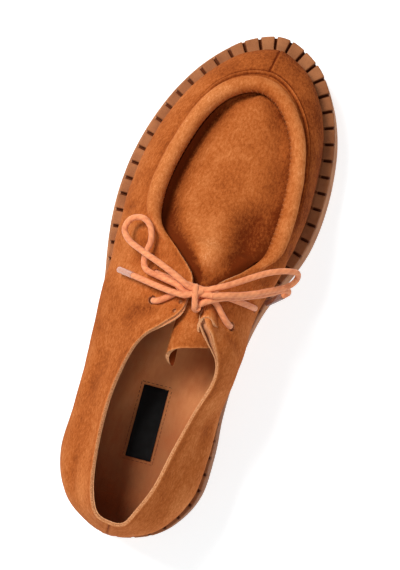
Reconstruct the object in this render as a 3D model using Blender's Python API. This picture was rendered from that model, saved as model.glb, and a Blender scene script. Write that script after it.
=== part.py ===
"""Lace-up moccasin-toe shoe for the left foot, standing on its sole.

+Y points to the toe, +X to the inner (medial) side of the foot and +Z up. The origin is under the
middle of the shoe, on the floor. Sizes are in millimetres and become metres when a mesh is written.
"""

import math
from collections import namedtuple

import bmesh
import bpy
import numpy as np

MM = 0.001

# Driving sizes. The section table is drawn for the sample sizes and graded to these.
LENGTH = 275.0
BALL_WIDTH = 107.4
INSTEP_HEIGHT = 92.0
SAMPLE_LENGTH = 275.0
SAMPLE_BALL_WIDTH = 107.4
SAMPLE_INSTEP_HEIGHT = 92.0

GAP = 0.3  # between pieces that meet
WALL = 1.8  # suede with its lining

# Sole, from the floor up
FOREFOOT_THICKNESS = 25.0  # floor to welt top under the ball
HEEL_LIFT = 9.0  # how much higher the welt runs at the heel
HEEL_LIFT_START, HEEL_LIFT_END = 15.0, -105.0
TOE_SPRING = 7.0
TOE_SPRING_START = 68.0
WELT_HEIGHT = 9.0
WELT_SETBACK = 1.2  # the outsole stands out this far below the welt
WELT_UNDER_UPPER = 4.0  # welt that runs in under the upper's edge
WELT_GROOVES = 72
GROOVE_SHARE = 0.17  # of the pitch
GROOVE_DEPTH = 3.2
GROOVE_END = 1.2  # stops this short of the upper
GROOVE_WALL = 0.25  # run of a groove's side wall
GROOVE_SLOPE = 0.4  # run of its inner end
GROOVE_BACK = 1.0  # depth where it runs down the welt's side
ARCH_HEIGHT = 9.0
HEEL_BREAST = -76.0
ARCH_TOP, ARCH_END = -62.0, 6.0
TREAD_CHAMFER = 3.0
SIDE_TAPER = 0.4  # the side leans in this much towards the tread
LEDGE_ROUND = 1.2
LUG_GROOVE_WIDTH = 5.0
LUG_GROOVE_DEPTH = 3.5
LUG_GROOVE_MARGIN = 11.0
LUG_GROOVE_REACH = 6.0  # looks this far along the edge for the margin
LUG_GROOVES = (-121.0, -109.0, -97.0, -85.0, 14.0, 27.0, 40.0, 53.0, 66.0, 79.0, 92.0, 105.0)

# Upper: where its mesh has a line, by distance along the wall from its top edge
ROLL_WIDTH = 9.5
EDGE_LINES = (0.0, 1.5, 3.5, 5.5, 7.5, ROLL_WIDTH, 13.0, 17.0, 21.0)
WALL_LINES = 4  # from the last of those down to the sole
STATIONS_PER_ROW = 2
BELLY_REACH = 0.38  # handle lengths of the wall's curve, by its height
SHOULDER_REACH = 0.42
ROLL_FULLNESS = 0.8  # power of the roll's sine, under 1 for a fuller one

# One row for each section from heel to toe: the outsole's edge, the upper's feather line (its inset
# from that edge), then the wall's top edge, which is the collar, the facing or the apron seam.
# flare and lean are the wall's angles from upright at its foot and its top, in degrees.
Section = namedtuple(
    "Section", "name edge_y edge_lat edge_med inset top_y top_lat top_med top_z flare lean roll"
)
SECTIONS = [
    Section("heel back", -137.5, 3.3, 3.3, 4.2, -126.8, 6.5, 6.5, 90.0, 11, 14, 0),
    Section("heel turn", -131.0, -17.0, 24.0, 4.4, -125.0, -1.5, 13.5, 89.3, 14, 15, 0),
    Section("heel corner", -119.5, -28.8, 35.2, 4.6, -116.5, -7.3, 17.4, 87.0, 17, 18, 0),
    Section("heel side", -103.0, -35.3, 41.7, 4.6, -103.0, -11.5, 21.5, 82.5, 20, 22, 0),
    Section("heel breast", -82.0, -36.5, 41.3, 4.2, -83.0, -15.0, 24.0, 79.3, 22, 24, 0),
    Section("waist back", -62.0, -37.9, 38.8, 3.6, -64.0, -15.8, 27.2, 79.0, 21, 24, 0),
    Section("waist", -46.0, -39.5, 37.6, 3.5, -47.0, -13.9, 31.0, 81.7, 22, 26, 0),
    Section("collar bend", -34.0, -40.8, 37.3, 3.5, -36.0, -9.8, 29.7, 85.8, 21, 34, 0),
    Section("collar front", -25.0, -42.1, 37.6, 3.6, -27.5, -2.7, 23.5, 90.0, 20, 46, 0),
    Section("facing corner", -16.5, -43.8, 38.2, 4.0, -18.5, 4.2, 16.0, 92.0, 18, 58, 0),
    Section("facing", -8.0, -45.8, 39.3, 4.6, -9.5, 5.2, 14.6, 89.6, 18, 62, 0),
    Section("throat point", 0.0, -48.0, 41.0, 5.4, 0.0, 3.2, 17.0, 85.4, 18, 62, 0),
    Section("throat side", 11.0, -50.6, 44.6, 6.8, 9.5, -7.5, 25.5, 79.3, 19, 60, 0.6),
    Section("throat start", 23.0, -52.6, 49.0, 8.0, 20.5, -20.0, 32.2, 71.0, 14, 58, 3.6),
    Section("ball back", 38.0, -53.7, 52.7, 8.5, 34.0, -24.2, 33.0, 65.0, 8, 58, 6.0),
    Section("ball", 56.0, -53.0, 53.7, 8.5, 48.5, -24.4, 32.2, 61.0, 6, 60, 6.4),
    Section("forefoot", 76.0, -49.3, 52.0, 8.5, 64.0, -22.3, 30.0, 58.0, 7, 62, 6.4),
    Section("toe side", 96.0, -42.4, 47.4, 8.7, 79.0, -18.6, 25.7, 56.0, 10, 64, 6.4),
    Section("toe corner", 114.0, -32.0, 38.9, 9.3, 90.5, -12.8, 18.7, 54.6, 17, 66, 6.4),
    Section("toe turn", 129.5, -17.0, 25.5, 10.3, 97.7, -5.0, 10.8, 53.8, 24, 68, 6.4),
    Section("toe", 137.5, 4.0, 4.0, 10.5, 100.3, 3.0, 3.0, 53.5, 26, 68, 6.4),
]
ROWS = len(SECTIONS) - 1
ROW = {section.name: index for index, section in enumerate(SECTIONS)}
STATIONS = 2 * ROWS * STATIONS_PER_ROW

EYELET_RADIUS = 2.1
# Each pair of eyelets: its row, the wall's line on each side, and how many rows forward
# of the row its bar bends on the way to the throat.
Eyelet = namedtuple("Eyelet", "row lateral medial bend")
EYELETS = [Eyelet(ROW["facing corner"], 7, 7, 1.1), Eyelet(ROW["facing"] + 0.5, 8, 9, 0.0)]

# Apron: sunk inside the roll, then tucked under the facings
APRON_DROP = 2.2  # below the seam line
APRON_OUT = 0.6  # in under the roll
APRON_CROWN = 0.09  # of its width
APRON_CELLS = 10
APRON_FIRST_ROW = ROW["throat start"]  # sewn from here to the toe
Tuck = namedtuple("Tuck", "row under crown")
APRON_TUCKS = [
    Tuck(ROW["facing"] + 0.5, 7.0, 3.0),
    Tuck(ROW["throat point"], 7.0, 3.4),
    Tuck(ROW["throat point"] + 0.5, 6.5, 3.6),
    Tuck(ROW["throat side"], 6.0, 3.6),
    Tuck(ROW["throat side"] + 0.5, 4.0, 3.6),
]
TUCK_CLEARANCE = 1.4

# Tongue: one row for each section from its sewn end to its tip
# skew brings its medial edge forward and takes its lateral edge back. From its middle to the
# lateral edge it is lateral wide and curls down and under by the share curl, and the curled
# part reaches back by the share back of its width.
Tongue = namedtuple("Tongue", "y middle_x half_width lateral middle_z edge_z skew curl back")
TONGUE = [
    Tongue(3.0, 9.8, 13.0, 13.0, 76.8, 72.2, 0.0, 0.0, 0.0),
    Tongue(-4.0, 9.8, 13.5, 13.5, 80.8, 76.0, 0.0, 0.0, 0.0),
    Tongue(-11.0, 10.0, 14.5, 14.5, 85.9, 79.8, 0.0, 0.2, 0.0),
    Tongue(-18.0, 11.2, 13.8, 16.0, 88.2, 81.4, 0.8, 0.8, 0.05),
    Tongue(-24.5, 11.4, 15.2, 18.0, 88.6, 81.6, 2.4, 1.0, 0.2),
    Tongue(-30.0, 11.8, 15.0, 19.5, 88.2, 80.8, 3.8, 1.0, 0.42),
    Tongue(-34.5, 12.2, 13.6, 20.5, 87.4, 80.4, 4.8, 1.0, 0.58),
]
TONGUE_CELLS = 16
TONGUE_WALL = 1.6
CURL_START = 2.0  # from the tongue's middle
CURL_RADIUS = 6.2

INSOLE_THICKNESS = 3.4
INSOLE_CLEARANCE = 0.9
LABEL_SIZE = (13.0, 37.5, 0.4)
LABEL_MIDDLE = (3.6, -76.0)
LABEL_TURN = 5.0  # degrees, along the foot's own line
LABEL_CELLS = 6  # along it, to follow the insole

# Lace: a round waxed cord. Each route's points are its centre line, from the knot outwards.
LACE_DIAMETER = 2.8
LACE_POINT_SPACING = 6.5
LACE_SIDES = 8
LACE_LIFT = 1.1  # a bar's height over the facings
BAR_SPACING = 6.5  # about, between a bar's points on the way from its eyelet to the throat
BAR_THROAT = 0.8  # its last point before the throat, from the facing's edge
KNOT_MIDDLE = (10.4, -8.6, 96.0)
KNOT_RADII = (5.2, 4.4, 3.2)
KNOT_SEGMENTS, KNOT_RINGS = 14, 8
LOOP_LATERAL = [(4.4, -6.4, 96.0), (-3.0, -3.4, 94.4), (-13.0, 0.0, 90.0), (-24.0, 3.4, 82.0),
                (-32.4, 6.6, 73.6), (-37.2, 11.4, 69.0), (-36.0, 17.4, 69.0), (-30.0, 19.6, 72.6),
                (-24.6, 16.2, 76.0), (-22.0, 9.6, 77.4), (-22.4, 2.0, 77.6), (-19.6, -4.2, 80.0),
                (-11.0, -6.0, 86.4), (-2.0, -7.2, 92.2), (4.0, -9.6, 94.4)]
LOOP_MEDIAL = [(14.6, -4.2, 95.8), (21.4, 0.2, 94.6), (26.6, 4.2, 92.4), (32.4, 9.0, 90.0),
               (38.4, 13.4, 87.6), (44.0, 16.4, 84.8), (49.4, 18.4, 80.7), (51.6, 18.3, 77.6),
               (52.0, 16.2, 74.4), (50.6, 13.1, 72.7), (48.0, 10.4, 73.3), (44.2, 7.6, 77.2),
               (40.0, 4.8, 81.2), (35.2, 1.6, 85.6), (28.8, -1.8, 91.2), (23.4, -4.0, 95.0), (16.8, -6.8, 97.2)]
END_LATERAL = [(4.4, -11.0, 97.4), (-3.0, -11.2, 94.0), (-12.0, -10.6, 87.6), (-19.6, -9.8, 81.6),
               (-25.0, -9.2, 76.0)]
END_MEDIAL = [(15.8, -9.4, 94.9), (21.6, -6.0, 92.2), (28.6, -2.8, 86.8), (35.2, 0.8, 80.8),
              (40.6, 4.0, 75.6), (45.6, 7.8, 70.4), (49.2, 9.8, 66.0), (49.9, 8.8, 62.6), (47.8, 6.8, 59.4)]
AGLET_LENGTH = 12.0
AGLET_DIAMETER = 3.4

# Fineness of the curves and meshes
TANGENT_STEP = 0.05  # rows
ROUTE_STEPS = 24
WALL_CURVE_POINTS = 60
SLOPE_SPAN = 0.5
SHARP_ANGLE = 40.0
MERGE_DISTANCE = 0.05


# Curves

def catmull_rom(before, start, end, after, share):
    return 0.5 * (
        2 * start
        + (end - before) * share
        + (2 * before - 5 * start + 4 * end - after) * share**2
        + (3 * start - before - 3 * end + after) * share**3
    )


def around(column_lat, column_med, grade):
    """A column read once round the shoe: heel, medial side, toe, lateral side."""
    medial = [getattr(section, column_med) for section in SECTIONS]
    lateral = [getattr(section, column_lat) for section in SECTIONS]
    return np.array(medial + lateral[-2:0:-1]) * grade


GRADE_Y = LENGTH / SAMPLE_LENGTH
GRADE_X = BALL_WIDTH / SAMPLE_BALL_WIDTH
GRADE_Z = INSTEP_HEIGHT / SAMPLE_INSTEP_HEIGHT
COLUMNS = {
    "edge_x": around("edge_lat", "edge_med", GRADE_X),
    "edge_y": around("edge_y", "edge_y", GRADE_Y),
    "top_x": around("top_lat", "top_med", GRADE_X),
    "top_y": around("top_y", "top_y", GRADE_Y),
    "top_z": around("top_z", "top_z", GRADE_Z),
    **{name: around(name, name, 1.0) for name in ("inset", "flare", "lean", "roll")},
}


def read(column, row):
    """A column's value at a place round the shoe: 0 at the heel, ROWS at the toe, 2 ROWS at the heel."""
    values = COLUMNS[column]
    first = math.floor(row)
    near = [values[(first + step) % len(values)] for step in (-1, 0, 1, 2)]
    return catmull_rom(*near, row - first)


def edge_at(row, inset):
    """The outsole's edge, moved in by inset."""
    behind, point, ahead = (
        np.array([read("edge_x", place), read("edge_y", place)])
        for place in (row - TANGENT_STEP, row, row + TANGENT_STEP)
    )
    along = (ahead - behind) / np.linalg.norm(ahead - behind)
    inward = np.array([-along[1], along[0]])
    return point + inward * inset


def smooth(share):
    share = min(max(share, 0.0), 1.0)
    return share * share * (3 - 2 * share)


def toe_lift(y):
    reach = LENGTH / 2 - TOE_SPRING_START
    return TOE_SPRING * max(0.0, (y - TOE_SPRING_START) / reach) ** 2


def welt_top(y):
    heel = smooth((HEEL_LIFT_START - y) / (HEEL_LIFT_START - HEEL_LIFT_END))
    return FOREFOOT_THICKNESS + HEEL_LIFT * heel + toe_lift(y)


def tread(y):
    """Underside of the outsole: flat heel and forefoot, arch between them, toe spring."""
    rise = smooth((y - HEEL_BREAST) / (ARCH_TOP - HEEL_BREAST))
    fall = smooth((ARCH_END - y) / (ARCH_END - ARCH_TOP))
    return ARCH_HEIGHT * min(rise, fall) + toe_lift(y)


def smooth_route(points, spacing):
    """Evenly spaced points on a smooth curve through a route's own points."""
    points = np.array(points, float)
    padded = np.vstack([2 * points[0] - points[1], points, 2 * points[-1] - points[-2]])
    fine = [
        catmull_rom(*padded[i:i + 4], share)
        for i in range(len(points) - 1)
        for share in np.linspace(0, 1, ROUTE_STEPS, endpoint=False)
    ]
    fine = np.array(fine + [points[-1]])
    length = np.concatenate([[0], np.cumsum(np.linalg.norm(np.diff(fine, axis=0), axis=1))])
    count = max(4, round(length[-1] / spacing) + 1)
    wanted = np.linspace(0, length[-1], count)
    return np.stack([np.interp(wanted, length, fine[:, i]) for i in range(3)], axis=1)


# The upper's wall

def wall_curve(row):
    """The wall's section at a place round the shoe, as a fine polyline from its top edge down."""
    foot = np.append(edge_at(row, read("inset", row)), 0.0)
    foot[2] = welt_top(foot[1]) + GAP
    top = np.array([read("top_x", row), read("top_y", row), read("top_z", row)])
    outward = np.append(edge_at(row, 0.0) - edge_at(row, 1.0), 0.0)
    inward = np.append(top[:2] - foot[:2], 0.0)
    inward /= np.linalg.norm(inward)
    up = np.array([0.0, 0.0, 1.0])
    height = np.linalg.norm(top - foot)
    flare = math.radians(read("flare", row))
    lean = math.radians(read("lean", row))
    belly = foot + BELLY_REACH * height * (outward * math.sin(flare) + up * math.cos(flare))
    shoulder = top - SHOULDER_REACH * height * (inward * math.sin(lean) + up * math.cos(lean))
    share = np.linspace(0, 1, WALL_CURVE_POINTS)[:, None]
    left = 1 - share
    return (top * left**3 + 3 * shoulder * left**2 * share
            + 3 * belly * left * share**2 + foot * share**3)


def wall_points(row, distances):
    """Points on the wall at these distances from its top edge, with the roll raised on it."""
    curve = wall_curve(row)
    length = np.concatenate([[0], np.cumsum(np.linalg.norm(np.diff(curve, axis=0), axis=1))])
    along = np.gradient(curve, axis=0)
    inward = np.append(edge_at(row, 1.0) - edge_at(row, 0.0), 0.0)
    side = np.cross(inward, [0.0, 0.0, 1.0])
    normal = np.cross(along, side)
    normal /= np.linalg.norm(normal, axis=1)[:, None]
    roll = max(0.0, read("roll", row))
    points = []
    for distance in distances:
        point = [np.interp(distance, length, curve[:, i]) for i in range(3)]
        out = [np.interp(distance, length, normal[:, i]) for i in range(3)]
        swell = abs(math.sin(math.pi * min(distance / ROLL_WIDTH, 1.0))) ** ROLL_FULLNESS
        points.append(np.array(point) + roll * swell * np.array(out))
    return np.array(points), length[-1]


def wall_lines(row):
    total = wall_points(row, [0.0])[1]
    below = np.linspace(EDGE_LINES[-1], total, WALL_LINES + 1)[1:]
    return list(EDGE_LINES) + list(below)


def above_facing(row, distance, lift):
    """A point at this height over the wall's outer face."""
    near, _ = wall_points(row, [distance - SLOPE_SPAN, distance + SLOPE_SPAN])
    inward = np.append(edge_at(row, 1.0) - edge_at(row, 0.0), 0.0)
    side = np.cross(inward, [0.0, 0.0, 1.0])
    out = np.cross(near[1] - near[0], side)
    return near.mean(axis=0) + lift * out / np.linalg.norm(out)


# Meshes and materials

def material(name, colour, roughness):
    made = bpy.data.materials.new(name)
    made.use_nodes = True
    shader = made.node_tree.nodes["Principled BSDF"]
    shader.inputs["Base Color"].default_value = (*colour, 1.0)
    shader.inputs["Roughness"].default_value = roughness
    shader.inputs["Metallic"].default_value = 0.0
    return made


def add_object(name, mesh, finish):
    made = bpy.data.objects.new(name, mesh)
    made.data.materials.append(finish)
    bpy.context.scene.collection.objects.link(made)
    return made


def mesh_of(name, points, faces):
    mesh = bpy.data.meshes.new(name)
    mesh.from_pydata([tuple(float(value) * MM for value in point) for point in points], [], faces)
    bm = bmesh.new()
    bm.from_mesh(mesh)
    bmesh.ops.recalc_face_normals(bm, faces=bm.faces)
    bm.to_mesh(mesh)
    bm.free()
    mesh.shade_smooth()
    mesh.set_sharp_from_angle(angle=math.radians(SHARP_ANGLE))
    return mesh


def ring_faces(rings, count):
    """Quads between closed rings of count points each, one after the other."""
    return [
        (ring * count + i, ring * count + (i + 1) % count,
         (ring + 1) * count + (i + 1) % count, (ring + 1) * count + i)
        for ring in range(rings - 1)
        for i in range(count)
    ]


def ladder_faces(first, count):
    """Quads across a closed ring, from its medial side to its lateral side."""
    half = count // 2
    rungs = [(first + i, first + (count - i) % count) for i in range(half + 1)]
    faces = []
    for (a, b), (c, d) in zip(rungs, rungs[1:]):
        corners = [a, c, d, b]
        faces.append(tuple(dict.fromkeys(corners)))
    return faces


def ring_body(name, rings, finish):
    """A body between a first and a last ring, both closed across."""
    count = len(rings[0])
    faces = ring_faces(len(rings), count)
    faces += ladder_faces(0, count) + ladder_faces((len(rings) - 1) * count, count)
    points = [point for ring in rings for point in ring]
    return add_object(name, mesh_of(name, points, faces), finish)


def sheet_body(name, grid, thickness, finish, up):
    """A sheet of rows of points, given its thickness below its upper face."""
    rows, cells = len(grid), len(grid[0]) - 1
    points = [point for line in grid for point in line]
    width = cells + 1
    faces = [
        (r * width + c, r * width + c + 1, (r + 1) * width + c + 1, (r + 1) * width + c)
        for r in range(rows - 1)
        for c in range(cells)
    ]
    mesh = bpy.data.meshes.new(name)
    mesh.from_pydata([tuple(float(value) * MM for value in point) for point in points], [], faces)
    bm = bmesh.new()
    bm.from_mesh(mesh)
    bmesh.ops.remove_doubles(bm, verts=bm.verts, dist=MERGE_DISTANCE * MM)
    bm.normal_update()
    if sum(face.normal.dot(up) for face in bm.faces) < 0:
        bmesh.ops.reverse_faces(bm, faces=bm.faces)
    bm.to_mesh(mesh)
    bm.free()
    mesh.shade_smooth()
    made = add_object(name, mesh, finish)
    thicken(made, thickness)
    return made


def thicken(made, thickness):
    solidify = made.modifiers.new("Wall", "SOLIDIFY")
    solidify.thickness = thickness * MM
    solidify.offset = -1.0
    solidify.use_even_offset = True
    solidify.use_quality_normals = True


def tube(name, route, diameter, finish, spacing=LACE_POINT_SPACING):
    curve = bpy.data.curves.new(name, "CURVE")
    curve.dimensions = "3D"
    curve.bevel_depth = diameter / 2 * MM
    curve.bevel_resolution = LACE_SIDES // 2 - 2
    curve.use_fill_caps = True
    spline = curve.splines.new("POLY")
    points = smooth_route(route, spacing) * MM
    spline.points.add(len(points) - 1)
    for target, point in zip(spline.points, points):
        target.co = (*point, 1.0)
    return add_object(name, curve, finish)


# Pieces

def build_outsole(finish):
    rows = [i / STATIONS_PER_ROW for i in range(STATIONS)]

    def ring(inset_of, height_of):
        made = []
        for row in rows:
            x, y = edge_at(row, inset_of(row))
            made.append((x, y, height_of(y)))
        return made

    def platform(row):
        return read("inset", row) + WELT_UNDER_UPPER + GAP

    def ledge(y):
        return welt_top(y) - WELT_HEIGHT - GAP

    rings = [
        ring(lambda row: TREAD_CHAMFER, tread),
        ring(lambda row: SIDE_TAPER, lambda y: tread(y) + TREAD_CHAMFER),
        ring(lambda row: 0.0, lambda y: ledge(y) - LEDGE_ROUND),
        ring(lambda row: LEDGE_ROUND, ledge),
        ring(platform, ledge),
        ring(platform, welt_top),
    ]
    outsole = ring_body("outsole", rings, finish)
    cutter_mesh = bpy.data.meshes.new("lug_grooves")
    bm = bmesh.new()
    for y in LUG_GROOVES:
        margin = [edge_at(row, LUG_GROOVE_MARGIN) for row in rows]
        sides = [x for x, edge_y in margin if abs(edge_y - y) < LUG_GROOVE_REACH]
        low, high = min(sides), max(sides)
        top = tread(y) + LUG_GROOVE_DEPTH
        bottom = -LUG_GROOVE_DEPTH
        size = np.array([high - low, LUG_GROOVE_WIDTH, top - bottom]) * MM
        middle = np.array([(low + high) / 2, y, (top + bottom) / 2]) * MM
        box = bmesh.ops.create_cube(bm, size=1.0)["verts"]
        bmesh.ops.scale(bm, verts=box, vec=size)
        bmesh.ops.translate(bm, verts=box, vec=middle)
    bm.to_mesh(cutter_mesh)
    bm.free()
    cutter = bpy.data.objects.new("lug_grooves", cutter_mesh)
    bpy.context.scene.collection.objects.link(cutter)
    cutter.hide_render = True
    cutter.display_type = "WIRE"
    cut = outsole.modifiers.new("Lugs", "BOOLEAN")
    cut.operation = "DIFFERENCE"
    cut.object = cutter


def build_welt(finish):
    """A strip round the outsole's platform, with grooves across its top and down its side."""
    rows = np.arange(0, 2 * ROWS + TANGENT_STEP, TANGENT_STEP)
    outer = np.array([edge_at(row, WELT_SETBACK) for row in rows])
    length = np.concatenate([[0], np.cumsum(np.linalg.norm(np.diff(outer, axis=0), axis=1))])
    pitch = length[-1] / WELT_GROOVES
    half = pitch * GROOVE_SHARE / 2
    steps = ((-half - GROOVE_WALL, False), (-half, True), (half, True), (half + GROOVE_WALL, False))
    stations = [
        (np.interp((groove + 0.5) * pitch + offset, length, rows), cut)
        for groove in range(WELT_GROOVES)
        for offset, cut in steps
    ]
    points = []
    for row, cut in stations:
        feather = read("inset", row)
        groove_end = feather - GROOVE_END
        floor = GROOVE_DEPTH if cut else 0.0
        back = GROOVE_BACK if cut else 0.0
        profile = (
            (feather + WELT_UNDER_UPPER, WELT_HEIGHT),
            (feather + WELT_UNDER_UPPER, 0.0),
            (groove_end, 0.0),
            (groove_end - GROOVE_SLOPE, floor),
            (WELT_SETBACK + back, floor),
            (WELT_SETBACK + back, WELT_HEIGHT),
        )
        for inset, below in profile:
            x, y = edge_at(row, inset)
            points.append((x, y, welt_top(y) - below))
    sides = len(profile)
    count = len(stations)
    faces = [
        (station * sides + i, station * sides + (i + 1) % sides,
         (station + 1) % count * sides + (i + 1) % sides, (station + 1) % count * sides + i)
        for station in range(count)
        for i in range(sides)
    ]
    add_object("welt", mesh_of("welt", points, faces), finish)


def build_insole(finish):
    rows = [i / STATIONS_PER_ROW for i in range(STATIONS)]
    rings = []
    for lift in (GAP, GAP + INSOLE_THICKNESS):
        ring = []
        for row in rows:
            x, y = edge_at(row, read("inset", row) + WALL + INSOLE_CLEARANCE)
            ring.append((x, y, welt_top(y) + lift))
        rings.append(ring)
    ring_body("insole", rings, finish)


def build_label(finish):
    width, length, thickness = LABEL_SIZE
    bm = bmesh.new()
    bmesh.ops.create_grid(bm, x_segments=1, y_segments=LABEL_CELLS, size=0.5)
    turn = math.radians(LABEL_TURN)
    for vertex in bm.verts:
        x, y = vertex.co.x * width, vertex.co.y * length
        x, y = (x * math.cos(turn) - y * math.sin(turn) + LABEL_MIDDLE[0],
                x * math.sin(turn) + y * math.cos(turn) + LABEL_MIDDLE[1])
        z = welt_top(y) + GAP + INSOLE_THICKNESS + GAP + thickness
        vertex.co = (x * MM, y * MM, z * MM)
    mesh = bpy.data.meshes.new("insole_label")
    bm.to_mesh(mesh)
    bm.free()
    thicken(add_object("insole_label", mesh, finish), thickness)


def build_upper(finish):
    grid = []
    for i in range(STATIONS):
        row = i / STATIONS_PER_ROW
        grid.append(wall_points(row, wall_lines(row))[0])
    lines = len(grid[0])
    bm = bmesh.new()
    verts = [[bm.verts.new(tuple(point * MM)) for point in station] for station in grid]
    for i in range(STATIONS):
        ahead = verts[(i + 1) % STATIONS]
        for j in range(lines - 1):
            bm.faces.new((verts[i][j], verts[i][j + 1], ahead[j + 1], ahead[j]))
    bm.normal_update()
    for eyelet in EYELETS:
        station = int(eyelet.row * STATIONS_PER_ROW)
        punch(bm, verts[station][eyelet.medial])
        punch(bm, verts[STATIONS - station][eyelet.lateral])
    toe_face = max(bm.faces, key=lambda face: face.calc_center_median().y)
    if toe_face.normal.y < 0:
        bmesh.ops.reverse_faces(bm, faces=bm.faces)
    mesh = bpy.data.meshes.new("upper")
    bm.to_mesh(mesh)
    bm.free()
    mesh.shade_smooth()
    thicken(add_object("upper", mesh, finish), WALL)


def punch(bm, vertex):
    """An eyelet in place of a point of the wall: the faces round it reach only to the hole."""
    centre = vertex.co.copy()
    around_it = {edge for face in vertex.link_faces for edge in face.edges if vertex not in edge.verts}
    bmesh.ops.delete(bm, geom=[vertex], context="VERTS")
    made = bmesh.ops.extrude_edge_only(bm, edges=list(around_it))["geom"]
    for item in made:
        if isinstance(item, bmesh.types.BMVert):
            spoke = item.co - centre
            item.co = centre + spoke.normalized() * EYELET_RADIUS * MM


def build_apron(finish):
    grid = []
    for tuck in APRON_TUCKS:
        ends = [
            above_facing(place, tuck.under, -WALL - TUCK_CLEARANCE)
            for place in (2 * ROWS - tuck.row, tuck.row)
        ]
        grid.append(arched(*ends, tuck.crown))
    for step in range(APRON_FIRST_ROW * STATIONS_PER_ROW, ROWS * STATIONS_PER_ROW + 1):
        row = step / STATIONS_PER_ROW
        ends = []
        for place in (2 * ROWS - row, row):
            outward = np.append(edge_at(place, 0.0) - edge_at(place, 1.0), 0.0)
            seam = np.array([read("top_x", place), read("top_y", place), read("top_z", place)])
            seam[2] -= APRON_DROP
            ends.append(seam + outward * APRON_OUT)
        grid.append(arched(*ends, APRON_CROWN * np.linalg.norm(ends[0] - ends[1])))
    sheet_body("apron", grid, WALL, finish, up=(0, 0, 1))


def arched(start, end, crown):
    share = np.linspace(0, 1, APRON_CELLS + 1)
    line = start + (end - start) * share[:, None]
    line[:, 2] += crown * (1 - (2 * share - 1) ** 2)
    return line


def build_tongue(finish):
    grid = []
    for section in TONGUE:
        line = []
        for share in np.linspace(-1, 1, TONGUE_CELLS + 1):
            drop = (section.middle_z - section.edge_z) * share**2
            x = section.middle_x + share * section.half_width
            y = section.y + share * section.skew
            plain = np.array([x, y, section.middle_z - drop])
            curl = section.curl if share < 0 else 0.0
            line.append(plain + (curled(section, share) - plain) * curl)
        grid.append(line)
    sheet_body("tongue", grid, TONGUE_WALL, finish, up=(0, 0, 1))


def curled(section, share):
    """A point of the tongue's lateral half where it curls down and under."""
    far = -share * section.lateral
    flat = min(far, CURL_START)
    past = far - flat
    turn = past / CURL_RADIUS
    x = section.middle_x - flat - CURL_RADIUS * np.sin(turn)
    y = section.y - section.skew * flat / section.half_width - section.back * past
    return np.array([x, y, section.middle_z - CURL_RADIUS * (1 - np.cos(turn))])


def build_lace(cord, sleeve):
    lift = LACE_DIAMETER / 2 + LACE_LIFT
    for name, eyelet in zip(("lace_bar_rear", "lace_bar_front"), EYELETS):
        halves = []
        for line, medial in ((eyelet.lateral, False), (eyelet.medial, True)):
            far = wall_lines(eyelet.row)[line]
            half = []
            for share in np.linspace(0, 1, round((far - BAR_THROAT) / BAR_SPACING) + 1):
                row = eyelet.row + eyelet.bend * smooth(share)
                place = row if medial else 2 * ROWS - row
                half.append(above_facing(place, far + (BAR_THROAT - far) * share, lift))
            halves.append(half)
        tube(name, halves[0] + halves[1][::-1], LACE_DIAMETER, cord)
    bm = bmesh.new()
    bmesh.ops.create_uvsphere(bm, u_segments=KNOT_SEGMENTS, v_segments=KNOT_RINGS, radius=1.0)
    for vertex in bm.verts:
        vertex.co = [(middle + radius * value) * MM
                     for middle, radius, value in zip(KNOT_MIDDLE, KNOT_RADII, vertex.co)]
    mesh = bpy.data.meshes.new("lace_knot")
    bm.to_mesh(mesh)
    bm.free()
    mesh.shade_smooth()
    add_object("lace_knot", mesh, cord)
    tube("lace_loop_lateral", LOOP_LATERAL, LACE_DIAMETER, cord)
    tube("lace_loop_medial", LOOP_MEDIAL, LACE_DIAMETER, cord)
    for side, route in (("lateral", END_LATERAL), ("medial", END_MEDIAL)):
        tube("lace_end_" + side, route, LACE_DIAMETER, cord)
        last, before = np.array(route[-1]), smooth_route(route, LACE_POINT_SPACING)[-2]
        ahead = (last - before) / np.linalg.norm(last - before)
        tube("aglet_" + side, [last + ahead * GAP, last + ahead * (GAP + AGLET_LENGTH)],
             AGLET_DIAMETER, sleeve)


def build():
    for old in list(bpy.data.objects):
        bpy.data.objects.remove(old)
    suede = material("tan_suede", (0.30, 0.13, 0.045), 0.95)
    rubber = material("tan_rubber", (0.20, 0.10, 0.045), 0.7)
    lining = material("tan_leather", (0.34, 0.17, 0.07), 0.5)
    black = material("black_label", (0.02, 0.02, 0.02), 0.5)
    cord = material("waxed_cord", (0.42, 0.20, 0.11), 0.6)
    sleeve = material("clear_sleeve", (0.55, 0.42, 0.36), 0.2)
    build_outsole(rubber)
    build_welt(rubber)
    build_insole(lining)
    build_label(black)
    build_upper(suede)
    build_apron(suede)
    build_tongue(suede)
    build_lace(cord, sleeve)


build()
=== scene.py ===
import math

import bpy
import numpy as np
from mathutils import Matrix, Vector, noise


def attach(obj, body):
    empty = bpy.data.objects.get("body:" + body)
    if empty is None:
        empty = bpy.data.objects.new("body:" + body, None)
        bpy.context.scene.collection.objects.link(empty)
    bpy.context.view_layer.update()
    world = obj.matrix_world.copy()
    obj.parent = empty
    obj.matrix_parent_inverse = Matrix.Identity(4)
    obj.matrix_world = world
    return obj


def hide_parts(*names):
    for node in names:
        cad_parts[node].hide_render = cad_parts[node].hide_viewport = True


mm = 0.001

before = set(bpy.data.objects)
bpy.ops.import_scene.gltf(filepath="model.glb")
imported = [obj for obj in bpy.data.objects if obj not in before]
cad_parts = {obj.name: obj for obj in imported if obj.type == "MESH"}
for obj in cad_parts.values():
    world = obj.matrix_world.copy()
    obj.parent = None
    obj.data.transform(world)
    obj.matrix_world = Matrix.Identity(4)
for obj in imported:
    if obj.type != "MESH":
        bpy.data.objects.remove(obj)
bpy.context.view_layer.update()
print("frame loaded:", len(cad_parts), "solids")


# camera, lights and floor

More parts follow.
